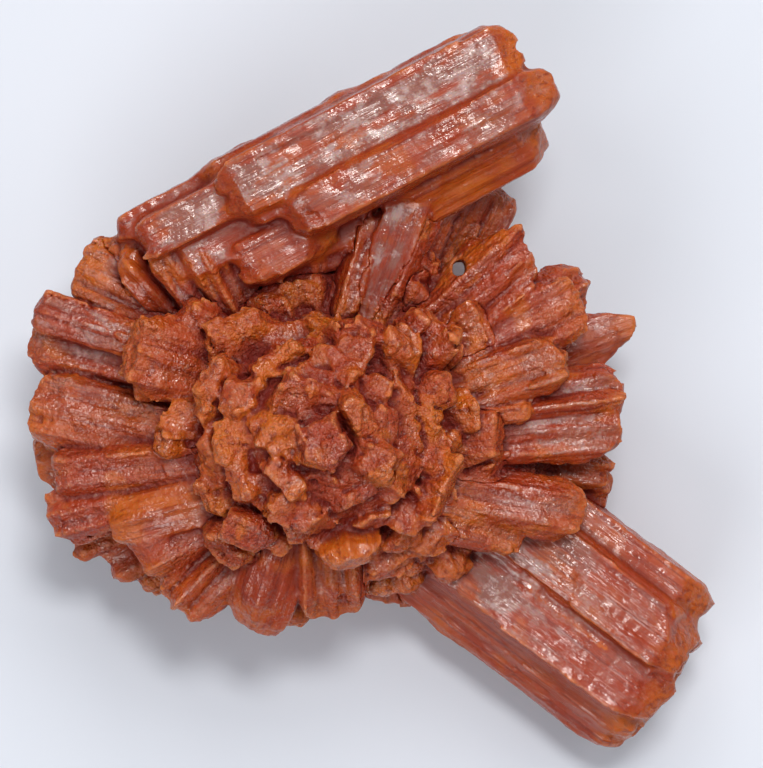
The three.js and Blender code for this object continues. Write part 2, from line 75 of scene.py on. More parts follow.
# root x, y, z, tip x, y, z, width at root and tip, thickness at root and tip, ridges, cap, and how much of the
# dull skin it has, which is drawn partly as a painted sheen and with painted glare. A row without the last three
# is a cut crystal.
RIM_LEFT = [
    (-10, 3.5, 18, -25.8, 10.9, 16, 3.5, 5.2, 4, 4.6, 3, BLUNT, 0.7),
    (-12, 2, 19.5, -29.3, 7.2, 17.5, 2, 2.8, 4, 4.6, 1, BLUNT, 1),
    (-12, 0.5, 18, -29.8, 4.1, 15, 3, 4.2, 4, 5, 2, BLUNT, 0.8),
    (-12, -1, 12, -27.6, 1.4, 12.5, 4, 5, 4, 5, 1, ROUND, 0.3),
    (-12, -5, 19, -29.7, -0.9, 16.5, 4, 6, 4, 5, 3, BLUNT, 0.3),
    (-14, -5, 13, -29, -3.2, 13.5, 3, 3.6, 4, 4.5, 1, BLUNT, 0.1),
    (-15, -5, 11, -29.7, -6.2, 11, 4, 5, 4, 4.5, 1, ROUND, 0),
    (-10, -5.5, 20.5, -27.8, -7.3, 17.5, 3, 3.6, 4, 4, 2, BLUNT, 0.2),
    (-9, -6.5, 20.5, -28.3, -11, 16, 3, 4.4, 4, 5, 3, BLUNT, 0.2),
    (-12, -9, 20.5, -22.6, -11.7, 18.5, 3, 3.6, 3, 3.6, 1, ROUND, 0.2),
    (-12, -9, 12, -26.7, -13.8, 11.5, 3, 3.2, 4, 4.2, 2, BLUNT, 0.1),
    (-10, -9, 11, -23.3, -15.8, 10.5, 3, 3.7, 4, 4.2, 2, BLUNT, 0.1),
    (-9, -9, 10, -20.3, -17.2, 9.5, 3, 3, 4, 4, 1, BLUNT, 0.1),
    (-8, -8.5, 20.5, -20.2, -14.7, 17.5, 3, 3.9, 4, 4.2, 2, BLUNT, 0.3),
    (-7, -8.5, 19.5, -17.2, -19, 15.5, 3.5, 5.2, 4, 5, 3, BLUNT, 0.4),
    (-6.5, -8, 20.5, -10.4, -20.7, 15, 4, 5.4, 7, 6, 1, ROUND, 0.1),
    (-5.5, -9, 14, -6.8, -20.8, 12, 2.5, 3, 6, 5, 1, BLUNT, 0),
    (-4, -9, 20.5, -3.1, -20.5, 14.6, 4.5, 6, 7, 6, 3, BLUNT, 0.4),
]
RIM_RIGHT = [
    (1, -9.5, 20.5, 13.9, -13.5, 17.5, 2.5, 3.2, 3, 3.6, 2, BLUNT, 0.4),
    (3, -8, 19.5, 19.8, -11, 18, 3.5, 4.5, 3.5, 4.5, 2, ROUND, 0.6),
    (5, -6, 12, 21.2, -8.9, 11, 3, 3.4, 4, 5, 1, BLUNT, 0),
    (4, -5, 15, 21.7, -6.6, 13.5, 3, 4.2, 4, 5, 3, BLUNT, 0.1),
    (1, -4, 19.5, 23, -1.7, 18, 5, 6.8, 5, 6, 4, BLUNT, 0.8),
    (3, -2.5, 20, 13.9, -1.5, 21.5, 1.6, 2, 2, 2.4, 1, BLUNT, 0),
    (4, -1.5, 20.5, 15, 0.2, 20, 2.4, 3, 3, 3.6, 1, BLUNT, 0.3),
    (2, -2, 20.5, 17.1, 3.3, 21, 3.5, 4.6, 4, 4.5, 3, BLUNT, 0.6),
    (3, -1, 12, 23.4, 5.8, 12.5, 4.5, 6.6, 4, 4.6, 1, POINT, 0.2),
    (3, 0, 20.5, 18.6, 8.1, 19, 4, 5.4, 4, 4.6, 3, BLUNT, 0.1),
    (3, 0, 18, 19.6, 9.7, 16, 4, 5, 4, 5, 3, ROUND, 0.1),
    (1, 1, 19.5, 15.5, 13.2, 19.5, 4, 6, 4, 5.4, 3, ROUND, 0.1),
    (1, 2, 18, 10.9, 12.6, 18, 3, 3.4, 4, 4, 1, BLUNT, 0.2),
    (1, -1, 11, 12.1, 17.6, 11.5, 2.4, 3, 4, 4.4, 1, BLUNT, 0.5),
    (0, -1, 12, 9.9, 19, 12.5, 2, 2.6, 5, 6, 1, BLUNT, 0.2),
    (-1, -1, 17, 8.4, 20, 15, 2, 2.6, 5, 6, 1, BLUNT, 0.2),
    (-2, -1, 19, 6.7, 19, 17.5, 1.6, 2.2, 5, 5.4, 1, BLUNT, 0.2),
    (-4, 0, 19, 0.8, 16.5, 18.8, 2, 2.6, 4, 4.4, 2, BLUNT, 0.2),
]
CROWN_PETALS = [
    (-8, 0, 17, -21.2, 3.7, 23, 3.5, 5.4, 3.5, 4.4, 3, BLUNT),
    (-8, -1, 16, -20.8, 1.2, 21, 2.2, 2.6, 3, 3),
    (-8, 1, 16, -16.8, 6.8, 22, 3, 4, 3, 3.6, 2, BLUNT),
    (-7, 0, 17, -12.5, 6.8, 24.5, 4, 5, 3, 3.8, 2, BLUNT),
    (-6, 1, 14, -9.4, 8.8, 21, 3.6, 4.4, 3, 4, 2, BLUNT),
    (-5, 1, 14, -6.2, 10.2, 20, 3, 3.6, 3, 3.6, 2, BLUNT),
    (-4, 0, 14, -3.6, 10.6, 19, 2.4, 2.8, 3, 3.4),
    (-9, -3, 16, -17.8, -1.6, 24, 2.6, 2.9, 2.8, 3),
    (-9.5, -4, 16, -18.4, -3.9, 22.5, 2.4, 2.7, 2.8, 3),
    (-8.5, -2.6, 17, -15, -1, 26, 2.8, 3.1, 2.8, 3),
    (-8, -1, 18, -14, 1.2, 26.5, 2.8, 3.4, 2.6, 3, 2, BLUNT),
    (-7, -8, 16, -11.2, -12.8, 26.5, 3.2, 3.7, 3.2, 3.6),
    (-6.5, -6, 16, -11.8, -8, 28, 3, 3.5, 3, 3.4, 2, BLUNT),
    (-6.5, -4, 16, -12.2, -4.2, 28.5, 3.2, 3.8, 3, 3.4),
    (-6.5, -2.5, 16, -11.7, -0.4, 28.3, 3, 3.3, 3, 3.2),
    (-3.2, -6.5, 15, -1.5, -15.1, 24.5, 3.6, 4.4, 3.6, 4, 1, ROUND),
    (-0.5, -6.5, 17, 7.8, -9.2, 26, 4, 6.6, 3, 3.6, 3, BLUNT),
    (-1, -7, 15, 3.2, -13.6, 22, 3, 3.4, 3, 3),
    (0, -3, 19, 7.2, 0.7, 25.5, 2, 2.6, 2.4, 3, 2, BLUNT),
    (0, -1, 18, 6.4, 6.2, 25.5, 3.5, 5, 3, 3.6, 2, BLUNT),
    (-2, -1.5, 18, 0.7, 6.3, 27, 4, 5.6, 3, 4, 3, BLUNT),
    (-1, -1.5, 18, 3.7, 4.8, 27, 3, 3.5, 3, 3.4),
    (-8, -5, 16, -14.6, -6.3, 25.5, 3, 3.6, 2.8, 3.2),
    (-7, -6.5, 16, -14.8, -9.6, 24, 3, 3.6, 2.8, 3.2, 2, BLUNT),
    (-3, 1, 15, -4.4, 6.6, 22.5, 3, 3.6, 3, 3.4),
    (-5, 1, 15, -7.6, 6.2, 22, 3, 3.6, 3, 3),
    (0, -3, 18, 5.8, -1.6, 25.5, 2.8, 3.4, 2.6, 3),
    (0, -4.5, 18, 6.4, -5, 25.6, 2.8, 3.6, 2.4, 3, 2, BLUNT),
    (-1, -2, 18, 3.6, 1.6, 27, 2.6, 3, 2.4, 2.8),
    (-1, -6, 17, 4.4, -11.6, 25, 2.6, 3, 2.6, 3),
    (-2, -7, 16, 0.6, -11.9, 26, 2.4, 2.8, 2.4, 2.8),
    (-4, -8, 15, -4, -12.6, 24.5, 2.6, 3, 2.6, 3),
    (-6, -8, 15, -8.6, -13, 24, 2.6, 3, 2.6, 3),
    (0, -4.5, 17, 11.8, -3.9, 22.6, 3, 4, 3, 3.6, 2, BLUNT),
    (0, -5, 16, 12.6, -6.8, 20.8, 3, 3.8, 3, 3.6, 2, BLUNT),
    (0, -3, 18, 10.4, -1.2, 23.4, 2.6, 3.4, 2.6, 3),
    (-1, -7, 14, 6.8, -13.4, 20.6, 3, 3.8, 3, 3.4, 1, BLUNT),
    (-2, -7, 14, 2.2, -16.2, 18.4, 3.4, 4.6, 3.4, 4.2, 2, BLUNT),
    (-8, -7, 15, -13, -14.4, 22.4, 3, 4, 3, 3.6, 2, BLUNT),
    (1, 0, 16, 10.6, 6.4, 22, 3.2, 4.2, 3, 3.6, 2, BLUNT),
]
CROWN_TIPS = [
    (-3.6, -4.4, 18, -3.8, -4.4, 32, 3.6, 4.4, 3.6, 4.6),
    (-4.5, -4.6, 18, -6.5, -5, 30.6, 2.4, 2.8, 2.4, 2.8),
    (-1.5, -5, 18, 0.9, -6.1, 30.6, 2.6, 3, 4, 5, 2, BLUNT),
    (-2, -6.5, 18, -0.8, -9.2, 29, 4, 5, 2.4, 2.8, 2, BLUNT),
    (-1, -6.5, 18, 2.2, -9.4, 27.6, 2.2, 2.6, 2.2, 2.6),
    (-5, -7, 17, -6.7, -11, 28.8, 4, 5, 3.4, 4, 2, BLUNT),
    (-5, -7.5, 16, -6.2, -13, 26.5, 1.8, 2.2, 1.8, 2.2),
    (-5, -5.5, 18, -7.4, -7.7, 30.2, 3.8, 4.6, 2.8, 3.2, 2, BLUNT),
    (-4.5, -3, 17, -6.9, -0.4, 31, 3.6, 4.4, 2.8, 3.4),
    (-5, -1, 18, -8.2, 3.7, 28, 4, 5.6, 2.2, 2.6, 2, BLUNT),
    (-6, -2, 18, -10.6, 1.9, 27.6, 3, 3.5, 2.6, 3),
    (-4.5, -2, 18, -6, 2, 29.6, 3, 3.4, 2.4, 2.8),
    (-2.5, -3, 18, -0.7, -2.2, 30.4, 3.4, 4, 3, 3.6, 2, BLUNT),
    (-3, -2, 18, -2.6, 0.6, 29.6, 2.4, 2.8, 2.4, 2.8),
    (-2, -3.5, 18, 1.8, -3.3, 28.8, 2.6, 3.2, 2.4, 3),
    (-1, -4, 18, 4.2, -3.8, 26.6, 2.6, 3.4, 2.4, 3, 2, BLUNT),
    (-1.5, -2, 18, 0.9, 0.6, 28.6, 2.4, 2.8, 2.4, 2.6),
]
FAN = [
    (-9, -1, 15, -18.2, 12.6, 21.4, 3, 4.4, 3, 4, 3, BLUNT, 1),
    (-8, 0, 15, -14.8, 12.6, 22, 3, 4, 3, 4, 3, BLUNT, 1),
    (-10, -1, 14, -21.8, 11.8, 19.4, 2.4, 3.4, 2.6, 4, 1, ROUND, 0),
]
# short crystals that close the corner between the fan and the upper sheaf
FOOT = [
    (-10, 3, 12, -22, 14, 16.6, 4, 4.6, 4, 5, 2, BLUNT, 0.2),
    (-7, 4, 12, -13.6, 13.2, 17.5, 4, 5, 4, 5, 2, BLUNT, 0.2),
    (-7, 1, 14, -12.4, 10.8, 20.8, 3, 3.4, 3, 3.6, 2, BLUNT, 0.9),
    (-10, 1, 13, -20.9, 13.3, 18.6, 3.2, 3.8, 3.6, 4, 2, BLUNT, 0.3),
    (-4, 4, 12, -5.4, 14.6, 18, 4, 5, 4, 5, 2, BLUNT, 0.2),
    (-3, 4, 12, -0.6, 16.4, 18, 3.4, 4, 4, 5, 2, BLUNT, 0.2),
]
DULL_PRISM = (-3.4, -2, 17.5, 4.4, 19.5, 19.2, 3.2, 4.2, 4, 4.6, 1, BLUNT, 1)

# how many, reach along X and Y, lowest and highest tip, width, thickness
SKIRT = [
    (10, (16.5, 14.2), (2.6, 4.6), (5, 7), (5.5, 6.4)),
    (11, (20.5, 15.6), (8, 11), (4.4, 6.4), (5, 5.8)),
]
MATRIX_TIPS = [(1.5, -19.4, 6), (4.5, -19.7, 5.5), (7.5, -20.2, 5)]
MATRIX_WIDTH, MATRIX_THICKNESS, MATRIX_ROOT_Z = (3.4, 4), (5, 5.4), 5
CHINK = (7.7, 10.9, 0.6)  # x, y and radius of the hole right through
# what the crystals' roots make where they meet: middle x, y, then rings of (height, half-size along X, along Y)
BULK = [
    ((-3, -3.8), [(0, 12, 10.5), (6, 17, 12.5), (13, 21.5, 14), (16.5, 20, 13), (19, 16, 11.5), (21, 13, 10)]),
    ((-4, -4), [(12, 9, 8), (18, 12.5, 10), (21.5, 11.5, 9.5), (25, 9.8, 8.3), (27.4, 7, 6), (28.6, 4.4, 4)]),
    ((-5, 9), [(11, 13, 8), (15, 13.5, 8.5), (18, 12, 7.5), (19.8, 10, 6)]),
]
BULK_FILL = 0.97

# the sheaves' bars: start, end, across, height, width, thickness, cap, film, and section if it isn't FLAT
TURNS = {"upper_sheaf": 27.5, "lower_sheaf": -37}  # degrees from +X
UPPER_SHEAF = [
    (-13.3, 1, 22.5, 18.5, 2.4, 5, BLUNT, 0.3),
    (-11.8, 3, 20.5, 20.5, 3.6, 7.6, BLUNT, 0.9),
    (-4.2, 10.8, 22.9, 20, 2.4, 5, ROUND, 0.4),
    (8, 14.6, 23.2, 19.5, 2, 4, BLUNT, 0.5),
    (14, 22.4, 22.9, 18.5, 2.2, 4.6, ROUND, 0.3),
    (-3.5, 25.2, 20.7, 21.8, 5.4, 9, BLUNT, 1),
    (0, 27, 16.2, 23, 4.2, 8.4, ROUND, 0.6),
    (-2.5, 24.6, 18.3, 21.5, 2.6, 7.4, BLUNT, 0.2),
    (9, 24.6, 13.6, 17.5, 5.4, 10, BLUNT, 0.1, RIDGED),
    (-5.6, 4, 14.6, 20.2, 4.4, 7, BLUNT, 0.2),
    (-2, 5.4, 11.9, 18, 1.2, 3, BLUNT, 0.2),
    (1, 7.6, 13, 18.6, 1.4, 3.4, BLUNT, 0.2),
    (-12.4, -3, 20, 14.8, 3.6, 5, ROUND, 0.1),
    (-10, 21, 18.8, 14.6, 6.6, 6.5, BLUNT, 0.2, RIDGED),
    (2, 17, 21.4, 14.4, 4.4, 5, BLUNT, 0.2, RIDGED),
    (-9, 12, 12.4, 13.4, 7, 6.4, BLUNT, 0.2, RIDGED),
]
LOWER_SHEAF = [
    (8, 35.8, 2, 10.2, 4, 8.4, BLUNT, 0.2),
    (8, 37, -1.8, 11, 5.6, 9.6, BLUNT, 0.8),
    (6, 37.9, -6.6, 10.2, 6.4, 9, ROUND, 0.8),
    (10, 37.6, -3.6, 6.6, 5.6, 6.4, BLUNT, 0.1, RIDGED),
    (13, 37.6, -10.3, 5.8, 5.4, 6.6, ROUND, 0.1, RIDGED),
    (20, 34.2, 0.6, 13.2, 1.2, 3.6, BLUNT, 0.3),
    (21, 31, -5.6, 13.2, 1.3, 3, POINT, 0.4, RIDGED),
    (23, 32.8, -4.2, 13.4, 1.2, 3.2, POINT, 0.4, RIDGED),
    (10, 18.6, -8.6, 12.6, 1.4, 3.2, POINT, 0.2, RIDGED),
    (6, 34, -1, 4.6, 8, 5, BLUNT, 0.1),
]

# what makes one slanting face of the lower sheaf's side
SHEAF_SIDE = [
    (11, 37.2, -9.6, 8.8, 3.2, 7.4, ROUND, 0, RIDGED),
    (12, 37, -11.2, 6.6, 3.2, 7, ROUND, 0, RIDGED),
]

# the flat step between the upper sheaf and its foot
SHEAF_STEP = (-9.5, 6, 17.5, 19.6, 3.8, 7, BLUNT, 0.9)

# ------- how each kind of crystal is finished
# reach: how far it goes past its row's tip; fibre: its fibres' size across and through
# proud: how far some fibres stand out; run: how far they go on at one height
# groove: depth and width of the gaps between fibres; broken: how unevenly they end
# facet: how much their ends slope; rim: how rounded the end's rim is
# knob and grit: heights of lumps; bend: how far it wanders off its axis
# fillet: how wide the corner at a neighbour is filled; crumb: how rough its skin is, from 0 to 1
Finish = namedtuple("Finish", "reach fibre proud run groove broken facet rim knob grit bend fillet crumb")
PETAL = Finish(0.8, (1.2, 1.6), 0.4, 6, (0.2, 0.34), 0.7, 0.4, 1.5, 0.1, 0.06, 0.35, 0.35, 0.8)
LOBE = Finish(0.4, (2.6, 2.6), 0.44, 4, (0.2, 0.36), 1, 1.3, 0.35, 0.09, 0.08, 0.2, 0.45, 1)
KNOB = Finish(0.2, (3.1, 3.1), 0.42, 3.5, (0.18, 0.36), 0.8, 1.3, 0.35, 0.09, 0.08, 0.2, 0.5, 1)
PRISM = Finish(0.6, (1.7, 3.6), 0.24, 12, (0.14, 0.3), 1.1, 1.3, 0.5, 0.05, 0.035, 0.1, 0.8, 0.16)
SMOOTH = Finish(0.8, (2.8, 3.2), 0.16, 8, (0.1, 0.3), 0.5, 0.8, 1, 0.07, 0.04, 0.3, 0.35, 0.35)
CRUST = Finish(0, (2.2, 2.2), 0.6, 3, (0.2, 0.4), 0.8, 1, 0.6, 0.3, 0.18, 0.4, 0.5, 1)

# sizes along and across the crystal, in mm, of what its finish is made of
BEND_SIZE, JOG_SIZE, FADE_SIZE, KNOB_SIZE, GRIT_SIZE = (6, 9), (1.5, 0.6), (5, 2), (2.4, 1.5), (1.1, 0.8)
JOG = 0.5  # how far a fibre's steps wander along it, in mm
MEAN_STAND = 0.62  # the share of the fibres' height that lies below the plain surface
FADE = 0.5, 0.8  # mean and spread of how deep the grooves are
BEND_LIFT = 0.6  # how much of a bend also lifts the surface

# ------- the grid
CELL = 0.22
LOW = np.array([-32.0, -33.0, -1.0])
HIGH = np.array([32.0, 33.0, 34.0])
AXES = [np.arange(lo, hi, CELL, dtype=np.float32) for lo, hi in zip(LOW, HIGH)]
SHAPE = tuple(len(axis) for axis in AXES)
BAND = 1.0  # how far from a crystal's plain surface its finish reaches
BALL = 20.0  # the radius at which lengths across the rosette are measured
FAR = 2.0  # what the fields say where nothing is near

SEED = 11
random = np.random.default_rng(SEED)
LATTICE_SIDE = 32
SALT_STEP = 7919
LATTICE = random.random(LATTICE_SIDE**3).astype(np.float32)


def scatter(seed):
    """A number from 0 to 1 for a seed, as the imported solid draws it."""
    value = math.sin(seed * 12.9898) * 43758.5453
    return value - math.floor(value)


def draw(i, j, k, salt):
    """A number from 0 to 1 for each whole-number place."""
    last = LATTICE_SIDE - 1
    index = ((i & last) * LATTICE_SIDE + (j & last)) * LATTICE_SIDE + (k & last) + salt * SALT_STEP
    return LATTICE[index & (LATTICE_SIDE**3 - 1)]


def noise(a, b, c, salt):
    """Smooth noise from -1 to 1, its features one unit across."""
    corner = [np.floor(v).astype(np.int32) for v in (a, b, c)]
    blend = [(v - i).astype(np.float32) for v, i in zip((a, b, c), corner)]
    blend = [f * f * (3 - 2 * f) for f in blend]
    i, j, k = corner
    u, v, w = blend
    slabs = []
    for di in (0, 1):
        rows = []
        for dj in (0, 1):
            near = draw(i + di, j + dj, k, salt)
            rows.append(near + w * (draw(i + di, j + dj, k + 1, salt) - near))
        slabs.append(rows[0] + v * (rows[1] - rows[0]))
    return 2 * (slabs[0] + u * (slabs[1] - slabs[0])) - 1


def lumps(a, b, c, size, salt):
    """Rounded lumps from -1 to 2 with creases between them: their sizes along a, and across."""
    along, across = size
    return 3 * np.abs(noise(a / along, b / across, c / across, salt)) - 1


CELL_MARGIN, CELL_STRAY = 0.15, 0.7  # where in its square a cell's middle may lie


def cells(x, y, salt):
    """Uneven cells about one unit across: how far each place is from a cell's border, the cell's number, and
    a plane through its middle that slopes a way of its own."""
    i, j = np.floor(x).astype(np.int32), np.floor(y).astype(np.int32)
    first = np.full(x.shape, 9.0, np.float32)
    second = first.copy()
    number = np.zeros(x.shape, np.int32)
    off_x, off_y = np.zeros_like(first), np.zeros_like(first)
    for di in (-1, 0, 1):
        for dj in (-1, 0, 1):
            ci, cj = i + di, j + dj
            dx = x - (ci + CELL_MARGIN + CELL_STRAY * draw(ci, cj, 3, salt))
            dy = y - (cj + CELL_MARGIN + CELL_STRAY * draw(ci, cj, 4, salt))
            away = dx * dx + dy * dy
            nearer = away < first
            second = np.where(nearer, first, np.minimum(second, away))
            first = np.where(nearer, away, first)
            number = np.where(nearer, ci * 37 + cj * 101, number)
            off_x, off_y = np.where(nearer, dx, off_x), np.where(nearer, dy, off_y)
    slope_x, slope_y = (draw(number, number >> 4, k, salt) - 0.5 for k in (5, 6))
    slope = off_x * slope_x + off_y * slope_y
    return np.sqrt(second) - np.sqrt(first), number, slope


def smooth_max(a, b, width):
    """The larger of two fields, with the corner between them rounded."""
    over = np.maximum(width - np.abs(a - b), 0) / width
    return np.maximum(a, b) + width / 4 * over * over


# ------- one crystal as a field
seeds = itertools.count()


class Crystal:
    """A crystal's shape, finish and piece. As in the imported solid, its chance numbers come from its place in
    the order in which the crystals are made."""

    def __init__(
        self, root, tip, width, thickness, cap, section, finish, piece, ridges=1, film=0.0, free_start=False
    ):
        self.root, self.tip = np.array(root, float), np.array(tip, float)
        axis = (self.tip - self.root) / np.linalg.norm(self.tip - self.root)
        self.tip += finish.reach * axis
        if free_start:
            self.root -= finish.reach * axis
        self.length = np.linalg.norm(self.tip - self.root)
        side = np.cross((0, 0, 1), axis)
        side /= np.linalg.norm(side)
        self.turn = np.array([axis, side, np.cross(axis, side)])
        self.half = np.array([width, thickness], float) / 2  # rows: across, through; columns: root, tip
        self.cap, self.finish, self.piece = cap, finish, piece
        self.ridges, self.film, self.free_start = ridges, film, free_start

        self.seed = seed = next(seeds)
        slant = cap[1]
        self.lean = [slant * (scatter(seed + 300) - 0.5), slant * (scatter(seed + 500) - 0.5)]
        mean = self.half.mean(axis=1)
        self.edges = []
        for (x0, y0), (x1, y1) in zip(section, section[1:] + section[:1]):
            normal = np.array([y0 - y1, x1 - x0])
            normal = normal / (normal @ np.array([x0, y0]))
            self.edges.append((normal[0], normal[1], 1 / math.hypot(*(normal / mean))))
        self.size = float(min(mean))
        if ridges > 1:
            pick = lambda k, salt: scatter(17 * seed + 5 * k + salt)
            least = min(pick(k, 1) for k in range(ridges))
            ends = [self.length * (1 - RIDGE_STEP * (pick(k, 1) - least)) for k in range(ridges)]
            self.profile = []
            for j in range(2 * ridges + 1):
                x = -1 + j / ridges
                crown = 1 - CROWN * x * x
                k = (j - 1) // 2
                if j % 2:
                    self.profile.append((x, crown + RIDGE_LIFT * (pick(k, 3) - 0.5), ends[k]))
                elif j in (0, 2 * ridges):
                    self.profile.append((x, PETAL_EDGE, ends[0 if j == 0 else -1]))
                else:
                    self.profile.append((x, crown - GROOVE, min(ends[k], ends[k + 1])))
            self.profile = np.array(self.profile).T
        # angle round the axis, slope and distance of each chip
        pick = lambda j, salt: scatter(seed * 7 + j + salt)
        self.chips = [
            (2 * math.pi * pick(j, 900), 0.6 + 0.5 * pick(j, 1100), 0.45 + 0.4 * pick(j, 1300))
            for j in range(CHIPS)
        ]

    def box(self, margin):
        """The part of the grid that holds the crystal, as slices."""
        across, through = np.abs(self.turn[1:])
        reach = across * self.half[0].max() + through * self.half[1].max() + margin
        low = np.minimum(self.root, self.tip) - reach
        high = np.maximum(self.root, self.tip) + reach
        start = np.clip(np.floor((low - LOW) / CELL), 0, SHAPE).astype(int)
        stop = np.clip(np.ceil((high - LOW) / CELL) + 1, 0, SHAPE).astype(int)
        return tuple(slice(a, b) for a, b in zip(start, stop))

    def local(self, box):
        """Along, across and through the crystal, in mm, for each place of a box."""
        x, y, z = (AXES[a][box[a]] - self.root[a] for a in range(3))
        out = []
        for row in self.turn.astype(np.float32):
            out.append((row[0] * x)[:, None, None] + (row[1] * y)[None, :, None] + (row[2] * z)[None, None, :])
        return out

    def field(self, t, x, y):
        """The crystal's plain field: its section, its caps and the chips off its tip."""
        share = np.clip(t / self.length, 0, 1)
        across = x / (self.half[0, 0] + share * (self.half[0, 1] - self.half[0, 0]))
        through = y / (self.half[1, 0] + share * (self.half[1, 1] - self.half[1, 0]))
        if self.ridges > 1:
            top = np.interp(across, self.profile[0], self.profile[1]).astype(np.float32)
            end = np.interp(across, self.profile[0], self.profile[2]).astype(np.float32) - self.length
            gauge = np.maximum(np.abs(across), through / top)
            gauge = np.maximum(gauge, FLANK * np.abs(across) - FLANK_DROP * through)
            gauge = np.maximum(gauge, -through / BACK)
            depth = (gauge - 1) * self.size
        else:
            end = 0.0
            depth = gauge = None
            for nx, ny, scale in self.edges:
                reach = nx * across + ny * through
                plane = (reach - 1) * scale
                depth = plane if depth is None else np.maximum(depth, plane)
                gauge = reach if gauge is None else np.maximum(gauge, reach)
        half = self.half[0, 1]
        lean_x, lean_y = self.lean
        slant = half * (lean_x * across + lean_y * through - abs(lean_x) - abs(lean_y))
        back = self.length + slant + end - t  # how far this place is from the tip
        depth = np.maximum(depth, self.capped(back, gauge, half))
        for angle, slope, distance in self.chips:
            plane = (x * math.cos(angle) + y * math.sin(angle)) * math.sin(slope) - back * math.cos(slope)
            depth = np.maximum(depth, plane - distance * half * math.sin(slope))
        if self.free_start:
            return np.maximum(depth, self.capped(t + slant, gauge, self.half[0, 0]))
        return np.maximum(depth, -t)

    def capped(self, back, gauge, half):
        """The cap's own field, from how far back a place is from the end."""
        rings = self.cap[0]
        depth = -back
        for (b0, s0), (b1, s1) in zip(rings, rings[1:]):
            slope = (s0 - s1) / ((b0 - b1) * half)
            limit = s1 + slope * (back - b1 * half)
            depth = np.maximum(depth, (gauge - limit) * self.size / math.hypot(1, slope * self.size))
        return depth

    def finished(self, t, x, y, depth):
        """The field with the crystal's finish: bends, fibres, ledges, broken ends, knobs and grit."""
        f, salt = self.finish, self.seed
        grown = lambda size, k, shift=0: noise(t / size[0], x / size[1], y / size[1] + shift, salt + k)
        bend_x = f.bend * grown(BEND_SIZE, 1)
        bend_y = f.bend * grown(BEND_SIZE, 2, 5)
        wide, deep = f.fibre
        border, number, slope = cells((x + bend_x) / wide, (y + bend_y) / deep, salt)
        jog = JOG * grown(JOG_SIZE, 3)
        place = np.floor((t + jog) / f.run + 5 * draw(number, number >> 3, 1, salt)).astype(np.int32)
        stands = draw(number, place, 2, salt)
        groove_depth, groove_width = f.groove
        gap = np.clip(1 - border * wide / groove_width, 0, 1)
        fade = np.clip(FADE[0] + FADE[1] * grown(FADE_SIZE, 4), 0, 1)
        lift = f.proud * (stands - MEAN_STAND) - groove_depth * gap * gap * fade
        lift += BEND_LIFT * (bend_x + bend_y)
        knobs = f.knob * lumps(t, x, y, KNOB_SIZE, salt + 6)
        lift += knobs
        lift += f.grit * lumps(t, x, y, GRIT_SIZE, salt + 8)
        shorter = f.broken * draw(number, number >> 2, 9, salt)
        uneven = f.facet * slope - knobs
        ends = t - (self.length - shorter) + uneven
        if self.free_start:
            ends = np.maximum(ends, shorter - t + uneven)
        return smooth_max(depth - lift, ends, f.rim)


def place_row(row, finish, piece, wide=1.0):
    """A row's crystal, `wide` times as wide. Pointed ones are clean prisms, and single round ones smooth."""
    ridges, cap, *film = row[10:] or (1, CUT)
    if cap is POINT:
        finish = PRISM
    elif cap is ROUND and ridges == 1:
        finish = SMOOTH
    section = STUB if cap is CUT else FLAT if row is DULL_PRISM else RIDGED
    width = [w * wide for w in row[6:8]]
    return Crystal(row[:3], row[3:6], width, row[8:10], cap, section, finish, piece, ridges, *film)


def place_bar(row, piece):
    """The bar that a row of a sheaf describes."""
    start, end, across, height, width, thickness, cap, film, *section = row
    turn = math.radians(TURNS[piece])
    c, s = math.cos(turn), math.sin(turn)
    root, tip = ((a * c - across * s, a * s + across * c, height) for a in (start, end))
    width, thickness = [width * BAR_FILL] * 2, [thickness] * 2
    section = section[0] if section else FLAT
    return Crystal(root, tip, width, thickness, cap, section, PRISM, piece, film=film, free_start=True)


def skirt():
    """The stubby crystals below the rim, in tiers, and those of the dusty rock."""
    made = []
    for tier, (count, reach, tip_z, width, thickness) in enumerate(SKIRT):
        for k in range(count):
            pick = lambda salt: scatter(31 * tier + k + salt)
            turn = (k + 0.5 * pick(40) + 0.5 * tier) * 2 * math.pi / count
            share = 0.9 + 0.1 * pick(60)
            tip = (
                HEART[0] + reach[0] * share * math.cos(turn),
                HEART[1] + reach[1] * share * math.sin(turn),
                tip_z[0] + (tip_z[1] - tip_z[0]) * pick(80),
            )
            root = HEART + (0, 0, 2 * tier)
            made.append(Crystal(root, tip, width, thickness, CUT, STUB, CRUST, "base"))
    for tip in MATRIX_TIPS:
        root = (tip[0] / 2, HEART[1], MATRIX_ROOT_Z)
        made.append(Crystal(root, tip, MATRIX_WIDTH, MATRIX_THICKNESS, BLUNT, RIDGED, CRUST, "base"))
    return made


def place_all(rows, *how):
    return [place_row(row, *how) for row in rows]


crystals = [
    *place_all(RIM_LEFT, PETAL, "rim_left", PETAL_FILL),
    *place_all(RIM_RIGHT, PETAL, "rim_right", PETAL_FILL),
    *place_all(CROWN_PETALS, LOBE, "crown", LOBE_FILL),
    *place_all(CROWN_TIPS, KNOB, "crown", KNOB_FILL),
    *place_all(FAN, PETAL, "upper_sheaf"),
    place_row(DULL_PRISM, PRISM, "upper_sheaf"),
    *skirt(),
    *(place_bar(row, "upper_sheaf") for row in UPPER_SHEAF),
    *(place_bar(row, "lower_sheaf") for row in LOWER_SHEAF),
    *place_all(FOOT, PETAL, "upper_sheaf"),
    *(place_bar(row, "lower_sheaf") for row in SHEAF_SIDE),
    place_bar(SHEAF_STEP, "upper_sheaf"),
]


